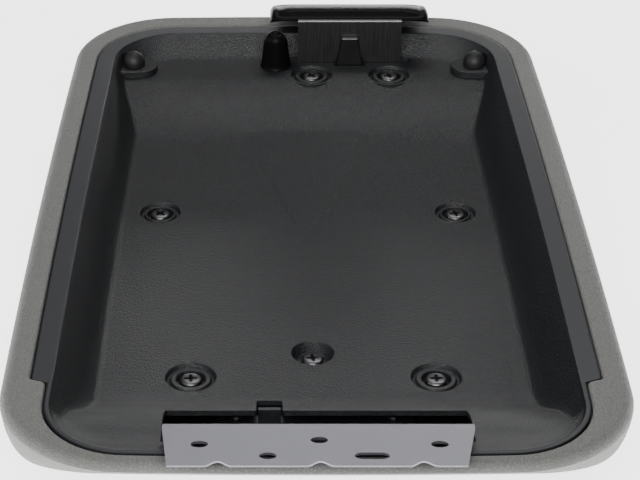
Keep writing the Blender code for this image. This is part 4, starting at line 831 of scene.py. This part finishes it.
carrier, tree, shader, place = surface("plain moulded polypropylene", Roughness=0.5, IOR=1.49)
flow = add(tree, "ShaderNodeTexNoise", Vector=place, Scale=35.0, Detail=3.0)
tint = add(tree, "ShaderNodeMix", {"data_type": "RGBA"}, Factor=flow.outputs[0],
           A=linear("#1e1f21"), B=linear("#292a2c"))
gloss = add(tree, "ShaderNodeMapRange", Value=flow.outputs[0], To_Min=0.42, To_Max=0.58)
feed(shader, Base_Color=tint.outputs[2], Roughness=gloss.outputs[0])
for name in ("top_shell", "latch_housing"):
    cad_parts[name].data.materials.clear()
    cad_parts[name].data.materials.append(carrier)

# Latch.
# A steel plate pivots below the shelf and carries a tapered hook. A satin finger handle is clipped
# on its top edge and arches over the far rim.

# The plate is blackened steel with a vertical brushed grain, about 0.7 mm between strokes.
brushed, tree, shader, place = surface("blackened brushed steel", Metallic=0.9, Roughness=0.36)
strokes = add(tree, "ShaderNodeMapping", Vector=place, Scale=(1500.0, 1500.0, 60.0))
stroke = add(tree, "ShaderNodeTexNoise", Vector=strokes.outputs[0], Scale=1.0, Detail=3.0)
tint = add(tree, "ShaderNodeMix", {"data_type": "RGBA"}, Factor=stroke.outputs[0],
           A=linear("#2c2d2d"), B=linear("#555554"))
gloss = add(tree, "ShaderNodeMapRange", Value=stroke.outputs[0], To_Min=0.28, To_Max=0.46)
bump = add(tree, "ShaderNodeBump", Height=stroke.outputs[0], Strength=0.2, Distance=0.0001)
feed(shader, Base_Color=tint.outputs[2], Roughness=gloss.outputs[0], Normal=bump.outputs[0])

# A painted highlight in light bare steel is laid on the faces that look up, along the plate's sheared top
# edge and on the tooth's top.
top_highlight_steel, tree, shader, place = surface("steel with painted top highlight", Metallic=0.9, Roughness=0.42)
highlight_noise = add(tree, "ShaderNodeTexNoise", Vector=place, Scale=900.0, Detail=3.0)
tint = add(tree, "ShaderNodeMix", {"data_type": "RGBA"}, Factor=highlight_noise.outputs[0],
           A=linear("#6a6a6b"), B=linear("#8c8c8b"))
feed(shader, Base_Color=tint.outputs[2])


def painted_top_highlight(obj, above):
    """Paints a highlight in light bare steel on the faces that look up, above a height."""
    obj.data.materials.append(top_highlight_steel)
    for face in obj.data.polygons:
        if face.center.z > above and face.normal.z > 0.3:
            face.material_index = 1


plate = piece(finer("latch_plate", "latch_steel_plate", 0.25 * MM), brushed, "latch", sharp=14)
# painted highlight along the plate's top edge
painted_top_highlight(plate, RIM + 14 * MM)
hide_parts("latch_plate")

# The hook is polished black acetal: deep black, with soft reflections and slight moulding waves.
acetal, tree, shader, place = surface("polished black acetal", Roughness=0.26, IOR=1.48,
                                      Specular_IOR_Level=0.35)
wave = add(tree, "ShaderNodeTexNoise", Vector=place, Scale=90.0, Detail=2.0)
tint = add(tree, "ShaderNodeMix", {"data_type": "RGBA"}, Factor=wave.outputs[0],
           A=linear("#0a0a0b"), B=linear("#151517"))
gloss = add(tree, "ShaderNodeMapRange", Value=wave.outputs[0], To_Min=0.2, To_Max=0.32)
bump = add(tree, "ShaderNodeBump", Height=wave.outputs[0], Strength=0.05, Distance=0.0005)
feed(shader, Base_Color=tint.outputs[2], Roughness=gloss.outputs[0], Normal=bump.outputs[0])

hook = piece(finer("latch_hook", "latch_tooth", 0.5 * MM), acetal, "latch", sharp=20)
# painted highlight on the tooth's top
painted_top_highlight(hook, RIM + 3 * MM)
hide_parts("latch_hook")

# the handle's middle line seen from the side, as (y, z) in mm, and its other sizes in mm
KNEES = [(198.75, 73.1), (199.5, 83), (214, 78.5), (243, 62.5)]
HANDLE_X, HANDLE_HALF, HANDLE_CORNER = 27, 47, 12
DROOP, DROOP_FROM, DROOP_OVER = 8, 33, 14       # each end bends down, from this far out, over this width
CORNER_STEPS = 8


def handle_point(share):
    """A point of the middle line, from the plate (0) to the finger edge (1)."""
    t = min(max(share, 0), 1)
    w = ((1 - t) ** 3, 3 * t * (1 - t) ** 2, 3 * t * t * (1 - t), t ** 3)
    return Vector((sum(a * k[0] for a, k in zip(w, KNEES)), sum(a * k[1] for a, k in zip(w, KNEES))))


handle_length = sum((handle_point((i + 1) / 80) - handle_point(i / 80)).length for i in range(80))


def handle_loop(inset, over):
    """A loop of the handle's outline, inset and raised over the middle of its wall."""
    half, reach = HANDLE_HALF - inset, handle_length / 2 - inset
    r = max(HANDLE_CORNER - inset, 3)
    turns = [math.radians(90 * k / CORNER_STEPS) for k in range(CORNER_STEPS + 1)]
    side = [(half - r + r * math.cos(a), reach - r + r * math.sin(a)) for a in turns[::-1]]
    side += [(half, (reach - r) * (1 - k / 6)) for k in range(1, 12)]
    side += [(half - r + r * math.cos(a), r * math.sin(-a) - reach + r) for a in turns]
    found = []
    for x, y in side + [(-x, y) for x, y in side[::-1]]:
        share = (handle_length / 2 + y) / handle_length
        spot = handle_point(share)
        ahead = (handle_point(share + 0.01) - handle_point(share - 0.01)).normalized()
        spot += Vector((-ahead[1], ahead[0])) * over
        bent = max(abs(x) - DROOP_FROM, 0) / DROOP_OVER
        droop = DROOP * (1 - math.sqrt(1 - bent ** 2)) * (1 - 0.5 * eased(share))
        found.append(((HANDLE_X + x) * MM, spot[0] * MM, (spot[1] - droop) * MM))
    return found


rings = [(13, -0.3), (10, -0.3), (7.5, -0.3), (5.5, -0.3), (4.8, -0.15), (4, 0.3), (3.1, 1.0), (2.2, 1.3),
         (1.4, 1.2), (0.7, 0.8), (0.2, 0.3), (0, -0.1), (0.2, -0.7), (0.7, -1.2), (1.6, -1.6), (4, -1.7),
         (8, -1.7), (13, -1.7)]
edit = bmesh.new()
rows = [[edit.verts.new(p) for p in handle_loop(*r)] for r in rings]
count = len(rows[0])
for one, two in zip(rows, rows[1:]):
    for i in range(count):
        edit.faces.new((one[i], one[(i + 1) % count], two[(i + 1) % count], two[i]))
for end in (rows[0], rows[-1]):
    for i in range(count // 2 - 1):
        edit.faces.new((end[i], end[i + 1], end[-i - 2], end[-i - 1]))
bmesh.ops.recalc_face_normals(edit, faces=edit.faces)

# The handle and the post are acetal from a finely blasted mould, so their reflections are dim.
handle_black, tree, shader, place = surface("blasted black acetal", Roughness=0.36, IOR=1.48,
                                            Specular_IOR_Level=0.05)
blast = add(tree, "ShaderNodeTexNoise", Vector=place, Scale=900.0, Detail=2.0)
tint = add(tree, "ShaderNodeMix", {"data_type": "RGBA"}, Factor=blast.outputs[0],
           A=linear("#070708"), B=linear("#0f0f10"))
gloss = add(tree, "ShaderNodeMapRange", Value=blast.outputs[0], To_Min=0.3, To_Max=0.42)
feed(shader, Base_Color=tint.outputs[2], Roughness=gloss.outputs[0])

handle = piece(as_object("latch_finger_handle", edit), handle_black, "latch", sharp=50)
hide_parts("latch_handle")

# Post and bumpers.
# The tapered post finds its hole in the console as the lid shuts, and the two domes in the far
# corners cushion it.

POST_X, POST_Y = -16.7, 190.5                   # in mm
post = spun("tapered_post", in_mm([
    (0, -5), (2.2, -5), (2.2, 0.35), (9.1, 0.35), (8.9, 0.8), (8.5, 1.5), (8.3, 2.6), (8.1, 5), (7.8, 8),
    (7.4, 11.5), (7.05, 14.2), (6.8, 16.2), (6.4, 17.6), (5.8, 18.8), (5.0, 19.8), (4.2, 20.4),
    (3.5, 20.75), (3.0, 20.8), (2.6, 20.6), (2.2, 20.1), (0, 19.9)]),
            (POST_X * MM, POST_Y * MM, tray_top(POST_Y)), facets=72)
piece(post, handle_black, sharp=50)
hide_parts("locating_post")

# Thermoplastic rubber: satin black, a little soft in its highlights.
rubber, tree, shader, place = surface("black thermoplastic rubber", Roughness=0.55, IOR=1.42)
fine = add(tree, "ShaderNodeTexNoise", Vector=place, Scale=600.0, Detail=3.0)
tint = add(tree, "ShaderNodeMix", {"data_type": "RGBA"}, Factor=fine.outputs[0],
           A=linear("#0c0c0d"), B=linear("#1a1a1b"))
gloss = add(tree, "ShaderNodeMapRange", Value=fine.outputs[0], To_Min=0.48, To_Max=0.62)
feed(shader, Base_Color=tint.outputs[2], Roughness=gloss.outputs[0])

DOME_RADIUS, DOME_FOOT, DOME_TOP = 6.5, 1.7, 8.5    # in mm, over the pad
for name, sign in (("left", -1), ("right", 1)):
    line = [(0, -5), (2.2, -5), (2.2, 0.35), (DOME_RADIUS, 0.35), (DOME_RADIUS, DOME_FOOT)]
    for a in (math.radians(9 * k) for k in range(1, 10)):
        line.append((DOME_RADIUS * math.cos(a) ** 1.2, DOME_FOOT + (DOME_TOP - DOME_FOOT) * math.sin(a)))
    dome = spun("dome_bumper_" + name, in_mm(line + [(0, DOME_TOP)]),
                (sign * DOME_X * MM, DOME_Y * MM, RIM - DOME_DROP * MM), facets=48)
    piece(dome, rubber, sharp=50)
    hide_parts("corner_bumper_" + name)

low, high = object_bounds()
